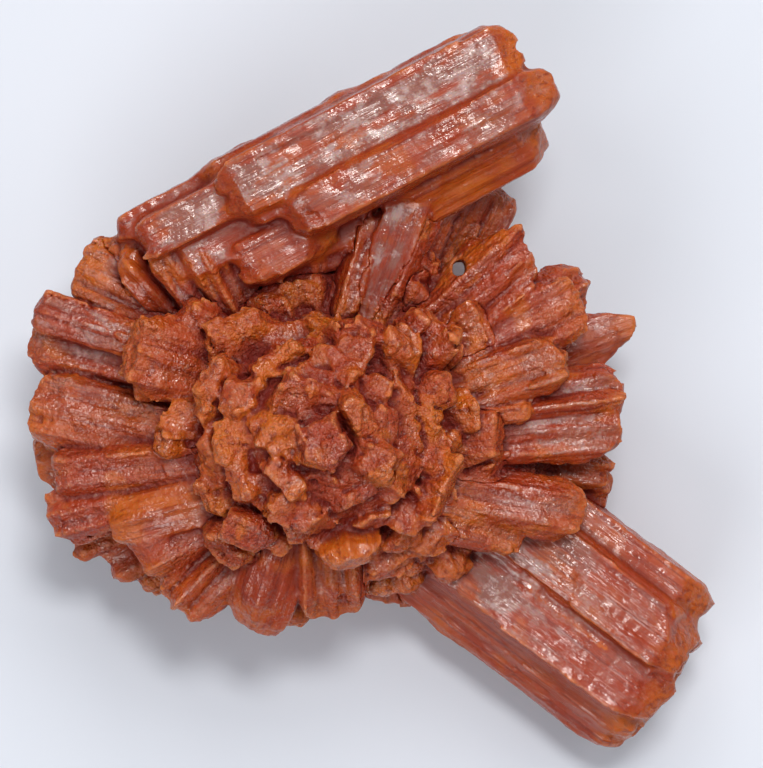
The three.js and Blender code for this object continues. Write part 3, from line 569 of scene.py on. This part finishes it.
# ------- joining the fields
def radial(points):
    """Places as a distance from HEART and two lengths across a ball round it."""
    way = points - HEART
    distance = np.linalg.norm(way, axis=1)
    fall = np.arccos(np.clip(way[:, 2] / np.maximum(distance, 1e-3), -1, 1))
    flat = np.maximum(np.hypot(way[:, 0], way[:, 1]), 1e-3)
    scale = BALL * fall / flat
    return [v.astype(np.float32) for v in (distance, way[:, 0] * scale, way[:, 1] * scale)]


def bulk_field():
    """What the roots make where they meet."""
    x, y, z = AXES[0][:, None, None], AXES[1][None, :, None], AXES[2][None, None, :]
    depth = FAR
    for (middle_x, middle_y), rings in BULK:
        heights, half_x, half_y = np.array(rings, float).T
        half_x = np.interp(z, heights, half_x).astype(np.float32)
        half_y = np.interp(z, heights, half_y).astype(np.float32)
        away = np.sqrt(((x - middle_x) / half_x) ** 2 + ((y - middle_y) / half_y) ** 2)
        part = np.maximum((away - BULK_FILL) * half_y, np.maximum(z - heights[-1], heights[0] - z))
        depth = np.minimum(depth, part)
    return depth.astype(np.float32)


PLAIN_MARGIN = 0.4  # mm round each crystal
rock = bulk_field()
plain = rock.copy()  # everything without a finish, to tell what lies deep inside
for crystal in crystals:
    box = crystal.box(PLAIN_MARGIN)
    plain[box] = np.minimum(plain[box], crystal.field(*crystal.local(box)))

# broken blocks over the bulk, as (size, height, salt), then lumps of the same
BLOCKS = [(3.0, 1.2, 71), (1.5, 0.4, 73)]
BLOCK_GAP = 0.2, 0.35  # depth and width
BULK_LUMPS = [(1.6, 0.14, 75), (0.8, 0.09, 72)]
near = np.nonzero((np.abs(rock) < BAND) & (plain > -BAND))
places = [AXES[a][near[a]] for a in range(3)]
_, across, through = radial(np.stack(places, 1))
rough = 0
for size, height, salt in BLOCKS:
    border, number, slope = cells(across / size, through / size, salt)
    rough += height * (draw(number, number >> 3, 2, salt) - 0.7 + 1.3 * slope)
    rough -= BLOCK_GAP[0] * np.clip(1 - border * size / BLOCK_GAP[1], 0, 1) ** 2
for size, height, salt in BULK_LUMPS:
    rough += height * lumps(*places, (size, size), salt)
rock[near] -= rough
whole = np.minimum(rock, np.float32(FAR))
owner = np.full(SHAPE, -1, np.int16)  # which crystal each place belongs to, -1 for the bulk
del rock


def add(index, crystal):
    """Joins a crystal, with its finish, to the whole."""
    box = crystal.box(BAND)
    t, x, y = crystal.local(box)
    depth = crystal.field(t, x, y).astype(np.float32)
    at_tip = t > crystal.length - crystal.finish.broken - BAND
    if crystal.free_start:
        at_tip |= t < crystal.finish.broken + BAND
    close = (depth < BAND) & ((depth > -BAND) | at_tip) & (plain[box] > -BAND - 1)
    depth[close] = crystal.finished(t[close], x[close], y[close], depth[close])
    here = whole[box]
    owner[box][depth < here] = index
    width = crystal.finish.fillet
    fillet = np.maximum(1 - np.abs(depth - here) / width, 0)
    here[...] = np.minimum(here, depth) - width / 4 * fillet * fillet


for index, crystal in enumerate(crystals):
    add(index, crystal)

# ------- smaller crystals in the gaps
SPACING, SCATTER = 0.16, 0.22  # radians between them, and how far they stray as a share of that
OUTERMOST, INNERMOST = 36, 3  # mm from HEART, where the surface is looked for
SPROUTED = 0.8  # the share of the free directions in which one grows
CROWN_RISE, LOWEST_RISE = 35, -50  # degrees above the level, of the lowest knobs and the lowest of all
ROOT_DEPTH, ROOT_WIDTH = 3.5, 0.8  # mm below the surface, and as a share of the tip's width
SPROUT_FILM = 0.1
# past the surface (least, range), width (least, range), finish, how far they lean, section, cap
CROWN_SPROUT = (0.6, 1.4), (3.0, 1.8), KNOB, 0.12, STUB, CUT
RIM_SPROUT = (0.6, 1.8), (2.8, 1.6), PETAL, 0.10, RIDGED, ROUND
CROWN_ABOVE, BASE_BELOW, RIM_RIGHT_ANGLES = 8, -3, (-75, 95)  # mm above HEART, and degrees from +X


def spread(spacing):
    """Unit directions over the whole sphere, about `spacing` radians apart."""
    count = int(4 * math.pi / spacing**2)
    k = np.arange(count) + 0.5
    z = 1 - 2 * k / count
    turn = k * math.pi * (3 - math.sqrt(5))
    flat = np.sqrt(1 - z * z)
    ways = np.stack([flat * np.cos(turn), flat * np.sin(turn), z], 1)
    ways += random.normal(0, SCATTER * spacing, ways.shape)
    return ways / np.linalg.norm(ways, axis=1)[:, None]


def surface_reach(ways):
    """How far from HEART the outermost surface is in each direction, and whose it is."""
    reach = np.arange(OUTERMOST, INNERMOST, -CELL)
    points = HEART + ways[:, None, :] * reach[None, :, None]
    cell = np.clip(np.rint((points - LOW) / CELL).astype(int), 0, np.array(SHAPE) - 1)
    solid = whole[cell[..., 0], cell[..., 1], cell[..., 2]] < 0
    solid &= (points > LOW).all(-1) & (points < HIGH - CELL).all(-1)
    first = solid.argmax(1)
    hit = cell[np.arange(len(ways)), first]
    return reach[first], owner[tuple(hit.T)]


def sprout(way, surface, pick, kind):
    """Grows a short crystal along `way` out of the bulk, whose surface is `surface` mm from HEART."""
    (past, more), (width, wider), finish, lean, section, cap = kind
    low = max(surface - ROOT_DEPTH, INNERMOST)
    high = surface + past + more * pick[0]
    width = width + wider * pick[1]
    axis = way + random.normal(0, lean, 3)
    axis /= np.linalg.norm(axis)
    tip = HEART + way * high
    root = tip - axis * (high - low)
    size = (ROOT_WIDTH * width, width)
    made = Crystal(root, tip, size, size, cap, section, finish, piece_of(way, high), film=SPROUT_FILM)
    crystals.append(made)
    add(len(crystals) - 1, made)


def piece_of(way, high):
    """Which piece a short crystal belongs to."""
    angle = math.degrees(math.atan2(way[1], way[0]))
    if way[2] * high > CROWN_ABOVE:
        return "crown"
    if way[2] * high < BASE_BELOW:
        return "base"
    return "rim_right" if RIM_RIGHT_ANGLES[0] < angle < RIM_RIGHT_ANGLES[1] else "rim_left"


ways = spread(SPACING)
for way, surface, number in zip(ways, *surface_reach(ways)):
    rise = math.degrees(math.asin(way[2]))
    pick = random.random(3)
    if number < 0 and rise >= LOWEST_RISE and pick[2] < SPROUTED:
        sprout(way, surface, pick, CROWN_SPROUT if rise > CROWN_RISE else RIM_SPROUT)

# ------- the base and the chink
CHINK_ROUGH, CHINK_LUMP = 0.35, 0.7  # how uneven its wall is, and how large each lump of it, in mm
whole = np.maximum(whole, -AXES[2][None, None, :])
gap_x, gap_y = np.meshgrid(AXES[0] - CHINK[0], AXES[1] - CHINK[1], indexing="ij")
away = np.hypot(gap_x, gap_y)
away += CHINK_ROUGH * noise(gap_x / CHINK_LUMP, gap_y / CHINK_LUMP, gap_x * 0, 91)
whole = np.maximum(whole, (CHINK[2] - away)[:, :, None])

# ------- which piece each place belongs to
PIECES = ["crown", "rim_left", "rim_right", "upper_sheaf", "lower_sheaf", "base"]
COARSE = 1.0  # mm between the places where the nearest piece is looked for
UNREACHED = 90.0  # mm, farther than anything
SCRAP = 200  # a loose part of fewer faces than this is dropped
coarse_axes = [np.arange(lo, hi + COARSE, COARSE, dtype=np.float32) for lo, hi in zip(LOW, HIGH)]
coarse_shape = tuple(len(axis) for axis in coarse_axes)
grid = np.meshgrid(*coarse_axes, indexing="ij")
nearest = {piece: np.full(coarse_shape, UNREACHED, np.float32) for piece in PIECES}
for crystal in crystals:
    offset = [axis - start for axis, start in zip(grid, crystal.root)]
    t, x, y = (sum(float(r) * o for r, o in zip(row, offset)) for row in crystal.turn)
    nearest[crystal.piece] = np.minimum(nearest[crystal.piece], crystal.field(t, x, y))
del grid


def refine(values):
    """A coarse grid's values at every place of the fine grid."""
    for a in range(3):
        place = (AXES[a] - LOW[a]) / COARSE
        first = np.minimum(place.astype(int), values.shape[a] - 2)
        part = (place - first).astype(np.float32).reshape([-1 if b == a else 1 for b in range(3)])
        low = np.take(values, first, axis=a)
        values = low + part * (np.take(values, first + 1, axis=a) - low)
    return values


def blur(values, reach):
    """The mean of the cube of places within `reach` cells."""
    width = 2 * reach + 1
    for a in range(3):
        pad = [(reach + 1, reach) if b == a else (0, 0) for b in range(3)]
        total = np.cumsum(np.pad(values, pad, mode="edge"), axis=a, dtype=np.float32)
        size = values.shape[a]
        ahead = np.take(total, np.arange(width, width + size), axis=a)
        values = (ahead - np.take(total, np.arange(size), axis=a)) / width
    return values


def sample(values, points):
    """A grid's values at points given in cells."""
    corner = np.clip(np.floor(points).astype(int), 0, np.array(values.shape) - 2)
    part = (points - corner).astype(np.float32)
    i, j, k = corner.T
    u, v, w = part.T
    out = 0
    for di, fi in ((0, 1 - u), (1, u)):
        for dj, fj in ((0, 1 - v), (1, v)):
            for dk, fw in ((0, 1 - w), (1, w)):
                out = out + fi * fj * fw * values[i + di, j + dj, k + dk]
    return out


inside = (whole < 0).astype(np.float32)
# how much stone there is round each place: little at edges, and much in crevices, where the material paints glow
# and shade
EDGE_REACH, HOLLOW_REACH = 0.5, 1.5
twice = lambda reach: blur(blur(inside, round(reach / CELL)), round(reach / CELL / 2))
edge_blur, hollow_blur = twice(EDGE_REACH), twice(HOLLOW_REACH)

# what the crystals' vertices are given, with the bulk's at the end
BULK_LENGTH, BULK_WIDTH, BULK_HUE = 30.0, 2.0, 0.4
turns = np.array([c.turn for c in crystals] + [np.eye(3)])
roots = np.array([c.root for c in crystals] + [HEART])
lengths = np.array([c.length for c in crystals] + [BULK_LENGTH])
widths = np.array([c.half[0].max() for c in crystals] + [BULK_WIDTH])
starts = np.array([c.free_start for c in crystals] + [False])
films = np.array([c.film for c in crystals] + [0.0])
hues = np.array([scatter(i + 0.37) for i in range(len(crystals))] + [BULK_HUE])
crumbs = np.array([c.finish.crumb for c in crystals] + [1.0])
TIP_SPAN = 4.0  # mm of a crystal that count as its tip
# the film is the dull skin, drawn only where a face looks up, so partly a painted sheen, and with painted glare
FILM_SIDE, FILM_END = 0.3, 3  # where the film thins out: a share of the half-width, and mm from the ends
CRUMB_FILM = 0.7  # how much of the film is left on a crumbly crystal
SHEAF_THINNING = 2.7, 3.4, 0.2, 1.5  # of its film: at the root, fall over the length, least, most
DUST_TOP, DUST_SPAN = 9, 3  # mm above the base where the dusty rock ends, and over which it fades


def without_scraps(points, faces):
    """The points and faces of a mesh once its loose scraps are dropped."""
    part = np.arange(len(points))
    while True:
        lowest = part[faces].min(1)
        joined = part.copy()
        for n in range(4):
            np.minimum.at(joined, faces[:, n], lowest)
        joined = joined[joined]
        if (joined == part).all():
            break
        part = joined
    of_face = part[faces[:, 0]]
    faces = faces[np.bincount(of_face)[of_face] >= SCRAP]
    kept, numbers = np.unique(faces, return_inverse=True)
    return points[kept], numbers.reshape(faces.shape).astype(np.int32)


def piece_mesh(name):
    """The part of the whole that is nearer to a piece's own crystals than to any other's."""
    others = np.min([nearest[p] for p in PIECES if p != name], 0)
    field = np.maximum(whole, refine((nearest[name] - others) / 2))
    step = 2 if name == "base" else 1
    volume = openvdb.FloatGrid(FAR)
    volume.copyFromArray(np.ascontiguousarray(np.clip(field, -FAR, FAR)[::step, ::step, ::step]))
    points, _, quads = volume.convertToPolygons(isovalue=0.0, adaptivity=0.0)
    points, faces = without_scraps(points * step, quads.astype(np.int32))
    a, b, c, d = (points[faces[:, n]] for n in range(4))
    flux = np.einsum("ij,ij->i", np.cross(c - a, d - b), a + b + c + d).sum()
    if flux < 0:  # the faces point inwards
        faces = faces[:, ::-1]
    mesh = bpy.data.meshes.new(name)
    mesh.vertices.add(len(points))
    mesh.vertices.foreach_set("co", ((points * CELL + LOW) * MM).astype(np.float32).ravel())
    mesh.loops.add(faces.size)
    mesh.loops.foreach_set("vertex_index", faces.ravel())
    mesh.polygons.add(len(faces))
    mesh.polygons.foreach_set("loop_start", np.arange(0, faces.size, 4, dtype=np.int32))
    mesh.polygons.foreach_set("use_smooth", np.ones(len(faces), bool))
    mesh.update(calc_edges=True)
    mesh.validate()
    dress(mesh, points, faces)
    return bpy.data.objects.new(name, mesh)


def dress(mesh, points, faces):
    """Gives each vertex what the material reads: its place along its crystal, and how near an edge or a crevice
    it is, for painted glow and shade.
    """
    cell = np.clip(np.rint(points).astype(int), 0, np.array(SHAPE) - 1)
    number = owner[tuple(cell.T)].astype(int)
    number[number < 0] = len(crystals)
    mixed = faces[(number[faces] != number[faces[:, :1]]).any(1)]
    seam = np.ones(len(points))
    seam[mixed.ravel()] = 0
    place = points * CELL + LOW
    local = np.einsum("nij,nj->ni", turns[number], place - roots[number])
    bulk = number == len(crystals)
    local[bulk] = np.stack(radial(place[bulk]), 1)
    from_tip = lengths[number] - local[:, 0]
    tip = np.clip(1 - from_tip / TIP_SPAN, 0, 1)
    offset = np.stack([(number * 17.3) % 29, (number * 7.7) % 31, (number * 3.1) % 23], 1)
    edge = sample(edge_blur, points)
    hollow = sample(hollow_blur, points)
    from_side = 1 - np.abs(local[:, 1]) / widths[number]
    from_end = np.minimum(from_tip, np.where(starts[number], local[:, 0], UNREACHED)) / FILM_END
    film = films[number] * np.clip(from_side / FILM_SIDE, 0, 1) * np.clip(from_end, 0, 1)
    film *= np.where(crumbs[number] > 0.5, CRUMB_FILM, 1.0)
    if mesh.name == "lower_sheaf":
        at_root, fall, least, most = SHEAF_THINNING
        film *= np.clip(at_root - fall * local[:, 0] / lengths[number], least, most)
    look = np.stack([film, hollow, tip, hues[number]], 1)
    bare = bulk * np.clip((DUST_TOP - place[:, 2]) / DUST_SPAN, 0, 1)
    edge_shading_and_dust = np.stack([edge, bare, crumbs[number], seam], 1)
    grain = local + offset
    for title, kind, values in (("grain", "vector", grain), ("look", "color", look), ("edge_shading_and_dust", "color", edge_shading_and_dust)):
        attribute = mesh.attributes.new(title, f"FLOAT_{kind.upper()}", "POINT")
        attribute.data.foreach_set(kind, values.astype(np.float32).ravel())


# ------- the material
class Nodes:
    """Short ways to add and join the nodes of a material or a world."""

    def __init__(self, owner):
        owner.use_nodes = True
        self.tree = owner.node_tree
        self.tree.nodes.clear()

    def add(self, kind, inputs=(), **settings):
        node = self.tree.nodes.new("ShaderNode" + kind)
        for key, value in settings.items():
            setattr(node, key, value)
        for key, value in dict(inputs).items():
            socket = node.inputs[key]
            if isinstance(value, bpy.types.NodeSocket):
                self.tree.links.new(value, socket)
            else:
                socket.default_value = value
        return node

    def attribute(self, name):
        return self.add("Attribute", attribute_name=name)

    def split(self, colour):
        return self.add("SeparateColor", {"Color": colour}).outputs

    def math(self, operation, a, b):
        return self.add("Math", {0: a, 1: b}, operation=operation).outputs[0]

    def times(self, a, b):
        return self.math("MULTIPLY", a, b)

    def plus(self, a, b):
        return self.math("ADD", a, b)

    def minus(self, a, b):
        return self.math("SUBTRACT", a, b)

    def vector(self, operation, inputs):
        return self.add("VectorMath", inputs, operation=operation).outputs[0]

    def stretch(self, vector, scale):
        return self.vector("MULTIPLY", {0: vector, 1: scale})

    def noise(self, vector, scale, detail=3, rough=0.55):
        inputs = {"Vector": vector, "Scale": scale, "Detail": detail, "Roughness": rough}
        return self.add("TexNoise", inputs).outputs["Fac"]

    def ramp(self, value, low, high, to_low=0, to_high=1):
        inputs = {"Value": value, "From Min": low, "From Max": high, "To Min": to_low, "To Max": to_high}
        return self.add("MapRange", inputs, interpolation_type="SMOOTHSTEP").outputs["Result"]

    def between(self, share, a, b):
        """From a to b as share goes from 0 to 1."""
        return self.add("MapRange", {"Value": share, "To Min": a, "To Max": b}).outputs["Result"]

    def mix(self, share, a, b):
        return self.add("Mix", {0: share, 6: a, 7: b}, data_type="RGBA").outputs[2]

    def cobble(self, vector, scale):
        """How far a place is from the middle of the nearest of many small cells."""
        return self.add("TexVoronoi", {"Vector": vector, "Scale": scale}).outputs["Distance"]

    def glints(self, vector, scale, tilt, normal):
        """The normal, tilted a way of its own in each of many small cells."""
        cell = self.add("TexVoronoi", {"Vector": vector, "Scale": scale}).outputs["Color"]
        way = self.vector("SUBTRACT", {0: cell, 1: (0.5, 0.5, 0.5)})
        way = self.vector("SCALE", {0: way, "Scale": tilt})
        return self.vector("NORMALIZE", {0: self.vector("ADD", {0: normal, 1: way})})

    def bump(self, height, strength, distance, normal=None):
        inputs = {"Height": height, "Strength": strength, "Distance": distance}
        if normal is not None:
            inputs["Normal"] = normal
        return self.add("Bump", inputs).outputs["Normal"]


def rgb(r, g, b):
    return (r, g, b, 1)


# maroon: the streaks' own colour, and painted shade in crevices and grooves
MAROON_STREAK_AND_SHADE = rgb(0.155, 0.008, 0.003)
# russet: painted shade on steep sides
RUSSET_SIDE_SHADE = rgb(0.36, 0.05, 0.006)
RED_BROWN = rgb(0.34, 0.04, 0.01)
ORANGE = rgb(0.53, 0.115, 0.01)
GLOW = rgb(0.6, 0.18, 0.05)
# salmon: a painted highlight on faces that look up
SALMON_HIGHLIGHT = rgb(0.46, 0.14, 0.078)
AMBER = rgb(0.58, 0.14, 0.01)
# mauve: the dull skin, partly a painted sheen, as it is put only where a face looks up
MAUVE_SKIN_AND_SHEEN = rgb(0.27, 0.095, 0.072)
# painted glare in patches on the skin
PAINTED_GLARE = rgb(0.55, 0.4, 0.38)
PALE = rgb(0.62, 0.4, 0.34)
TAN = rgb(0.42, 0.28, 0.17)

PEBBLE_BUMP, FINE_BUMP, PIT_BUMP = 0.00038, 0.00016, 0.0001  # heights, in metres
PER_METRE = (1000, 1000, 1000)


def stone_material():
    material = bpy.data.materials.new("aragonite")
    n = Nodes(material)
    grain = n.attribute("grain").outputs["Vector"]
    place = n.stretch(n.add("TexCoord").outputs["Object"], PER_METRE)
    look, edge_shading_and_dust = n.attribute("look"), n.attribute("edge_shading_and_dust")
    film, hollow, tip = n.split(look.outputs["Color"])[:3]
    hue = look.outputs["Alpha"]
    edge, bare, crumb = n.split(edge_shading_and_dust.outputs["Color"])[:3]
    seam = edge_shading_and_dust.outputs["Alpha"]
    # streaks along the crystals, left out where two of them meet
    fine = n.between(seam, 0.5, n.noise(n.stretch(grain, (0.03, 1, 1)), 2.2, 3, 0.6))
    broad = n.between(seam, 0.5, n.noise(n.stretch(grain, (0.35, 1, 1)), 0.45, 3))
    patch = n.between(seam, 0.5, n.noise(n.stretch(grain, (0.4, 1, 1)), 0.55, 5, 0.6))
    speck = n.noise(place, 1.6, 3, 0.65)
    region = n.noise(place, 0.1, 2, 0.5)
    up = n.split(n.add("NewGeometry").outputs["Normal"])[2]

    # brown to orange, with a painted glow towards the tips, a painted salmon highlight on top, amber where clear,
    # painted russet shade on the sides, maroon in streaks and painted maroon shade in crevices and grooves, a
    # painted glow through thin edges, the dull skin shown only where it faces up, so partly a painted sheen, with
    # painted glare on it, and dust
    warmth = n.plus(n.plus(n.times(broad, 0.7), n.times(hue, 0.22)), n.times(region, 0.5))
    # painted glow: more orange towards the tips
    warmth = n.plus(warmth, n.times(tip, n.between(crumb, 0.55, 0.12)))
    colour = n.mix(n.ramp(warmth, 0.6, 1.1), RED_BROWN, ORANGE)
    # faces that look up, where the salmon highlight is painted
    top = n.times(n.ramp(up, 0.72, 0.98), n.between(crumb, 0.05, 0.4))
    clear = n.ramp(n.noise(place, 0.24, 2, 0.5), 0.53, 0.64)
    # grooves, where much stone lies round a place, get painted shade
    groove = n.ramp(edge, 0.53, 0.68, 0, 0.85)
    # the dull skin on faces that look up: partly real, partly a painted sheen
    skin_and_sheen = n.times(n.times(n.ramp(up, 0.72, 0.95), film), n.ramp(patch, 0.43, 0.56, 0.06, 1))
    # patches of painted glare on the skin
    glare_patches = n.ramp(n.noise(place, 0.3, 4, 0.7), 0.48, 0.58, 0, 0.6)
    layers = [
        # painted highlight: salmon on the tops
        (n.times(top, n.ramp(broad, 0.42, 0.6, 0.15, 0.9)), SALMON_HIGHLIGHT),
        (n.times(clear, n.between(crumb, 0.25, 0.6)), AMBER),
        # painted shade: russet on steep sides
        (n.times(n.ramp(up, 0.84, 0.5), n.between(crumb, 0.45, 0.05)), RUSSET_SIDE_SHADE),
        (n.ramp(fine, 0.48, 0.68, 0, 0.6), MAROON_STREAK_AND_SHADE),
        # painted shade: maroon in crevices and in grooves
        (n.ramp(hollow, 0.5, 0.72, 0, 0.9), MAROON_STREAK_AND_SHADE),
        (n.times(groove, n.between(crumb, 0.2, 1)), MAROON_STREAK_AND_SHADE),
        (n.ramp(edge, 0.42, 0.22, 0, 0.75), GLOW),
        # the dull skin, partly a painted sheen
        (skin_and_sheen, MAUVE_SKIN_AND_SHEEN),
        # painted glare on the skin
        (n.times(glare_patches, skin_and_sheen), PAINTED_GLARE),
        (n.times(n.ramp(speck, 0.56, 0.76, 0, 0.4), n.between(crumb, 0.1, 1)), PALE),
        (n.times(bare, n.ramp(speck, 0.3, 0.6, 0.5, 0.95)), TAN),
    ]
    for share, layer in layers:
        colour = n.mix(share, colour, layer)

    # glossy patches, and how rough the rest is
    gloss = n.minus(n.noise(place, 0.28, 3, 0.6), n.times(crumb, 0.08))
    wet = n.ramp(gloss, 0.36, 0.52)
    deep = n.ramp(hollow, 0.5, 0.66)
    rough = n.plus(n.ramp(wet, 0, 1, 0.46, 0.24), n.times(bare, 0.3))
    rough = n.plus(rough, n.times(deep, 0.25))
    # relief: pebbles, streaks and pits, and glints in the coat
    pebble = n.minus(n.noise(place, 1.3, 2, 0.6), n.times(n.cobble(place, 1.9), 0.6))
    open_face = n.times(n.ramp(up, 0.66, 0.94, 0.12, 1), n.minus(1, deep))
    crumbly = n.times(crumb, n.ramp(n.noise(place, 0.22, 1), 0.38, 0.6, 0.5, 1))
    normal = n.bump(pebble, crumbly, PEBBLE_BUMP)
    normal = n.bump(fine, 1, FINE_BUMP, normal)
    normal = n.bump(n.cobble(place, 4.2), crumbly, PIT_BUMP, normal)
    gloss_normal = n.glints(n.stretch(grain, (0.14, 1, 1)), 3.6, n.times(seam, 0.16), normal)
    shader = n.add(
        "BsdfPrincipled",
        {
            "Base Color": colour,
            "Roughness": rough,
            "Normal": normal,
            "IOR": 1.5,
            "Specular IOR Level": 0.35,
            "Subsurface Weight": 0.45,
            "Subsurface Radius": (1, 0.25, 0.08),
            "Subsurface Scale": 0.0006,
            "Coat Weight": n.times(n.ramp(wet, 0, 1, 0.15, 1), open_face),
            "Coat Roughness": 0.14,
            "Coat Normal": gloss_normal,
        },
    )
    n.add("OutputMaterial", {"Surface": shader.outputs[0]})
    return material


aragonite = stone_material()
scene = bpy.context.scene
for number, name in enumerate(PIECES):
    stone = piece_mesh(name)
    stone.data.materials.append(aragonite)
    scene.collection.objects.link(stone)
    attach(stone, "root")
    if number == 0:
        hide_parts("aragonite_cluster")

# ------- the floor, the light and the camera
FLOOR_SIZE = 1.6  # metres
half = FLOOR_SIZE / 2
corners = [(-half, -half, 0), (half, -half, 0), (half, half, 0), (-half, half, 0)]
floor_mesh = bpy.data.meshes.new("floor")
floor_mesh.from_pydata(corners, [], [(0, 1, 2, 3)])
floor = bpy.data.objects.new("floor", floor_mesh)
paper = bpy.data.materials.new("paper")
n = Nodes(paper)
paper_shader = n.add("BsdfPrincipled", {"Base Color": rgb(0.69, 0.74, 0.832), "Roughness": 0.8})
n.add("OutputMaterial", {"Surface": paper_shader.outputs[0]})
floor_mesh.materials.append(paper)
scene.collection.objects.link(floor)

# the room: dim at the sides and brighter overhead
world = bpy.data.worlds.new("room")
scene.world = world
n = Nodes(world)
direction = n.add("TexCoord").outputs["Generated"]
rise = n.add("SeparateXYZ", {0: direction}).outputs["Z"]
strength = n.ramp(rise, 0.45, 1.0, 0.10, 0.34)
background = n.add("Background", {"Color": rgb(0.95, 0.96, 1.0), "Strength": strength})
n.add("OutputWorld", {"Surface": background.outputs[0]})

# soft panels that face the stone: place, size, watts and colour, in metres
WARM = (1.0, 0.97, 0.93)
PANELS = {
    "window": ((0.06, 0.17, 0.60), (0.14, 0.10), 1.6, WARM),
    "back": ((0.06, 0.46, 0.52), (0.50, 0.40), 2.2, WARM),
    "side": ((0.42, 0.10, 0.42), (0.30, 0.20), 0.3, WARM),
    "fill": ((-0.20, -0.36, 0.42), (0.34, 0.30), 1.3, (1.0, 0.98, 0.96)),
}
LIT = Vector((0, 0, 0.015))
for name, (place, size, watts, colour) in PANELS.items():
    panel = bpy.data.lights.new(name, "AREA")
    panel.shape, panel.energy, panel.color = "RECTANGLE", watts, colour
    panel.size, panel.size_y = size
    light = bpy.data.objects.new(name, panel)
    light.location = place
    light.rotation_euler = (LIT - Vector(place)).to_track_quat("-Z", "Y").to_euler()
    scene.collection.objects.link(light)

# the camera looks straight down from far off, at the stone's middle
PX = 0.088 * MM  # a pixel of the photograph at the stone
PHOTO_SIDE = 768  # its longer side, in pixels
CENTRE = Vector((1.056 * MM, 0.616 * MM, 16 * MM))
LENS, SENSOR = 300.0, 36.0
camera_data = bpy.data.cameras.new("camera")
camera_data.lens, camera_data.sensor_width = LENS, SENSOR
camera_data.clip_start, camera_data.clip_end = 0.01, 5.0
camera = bpy.data.objects.new("camera", camera_data)
camera.location = CENTRE + Vector((0, 0, PHOTO_SIDE * PX * LENS / SENSOR))
scene.collection.objects.link(camera)
scene.camera = camera
scene.view_settings.view_transform = "Standard"
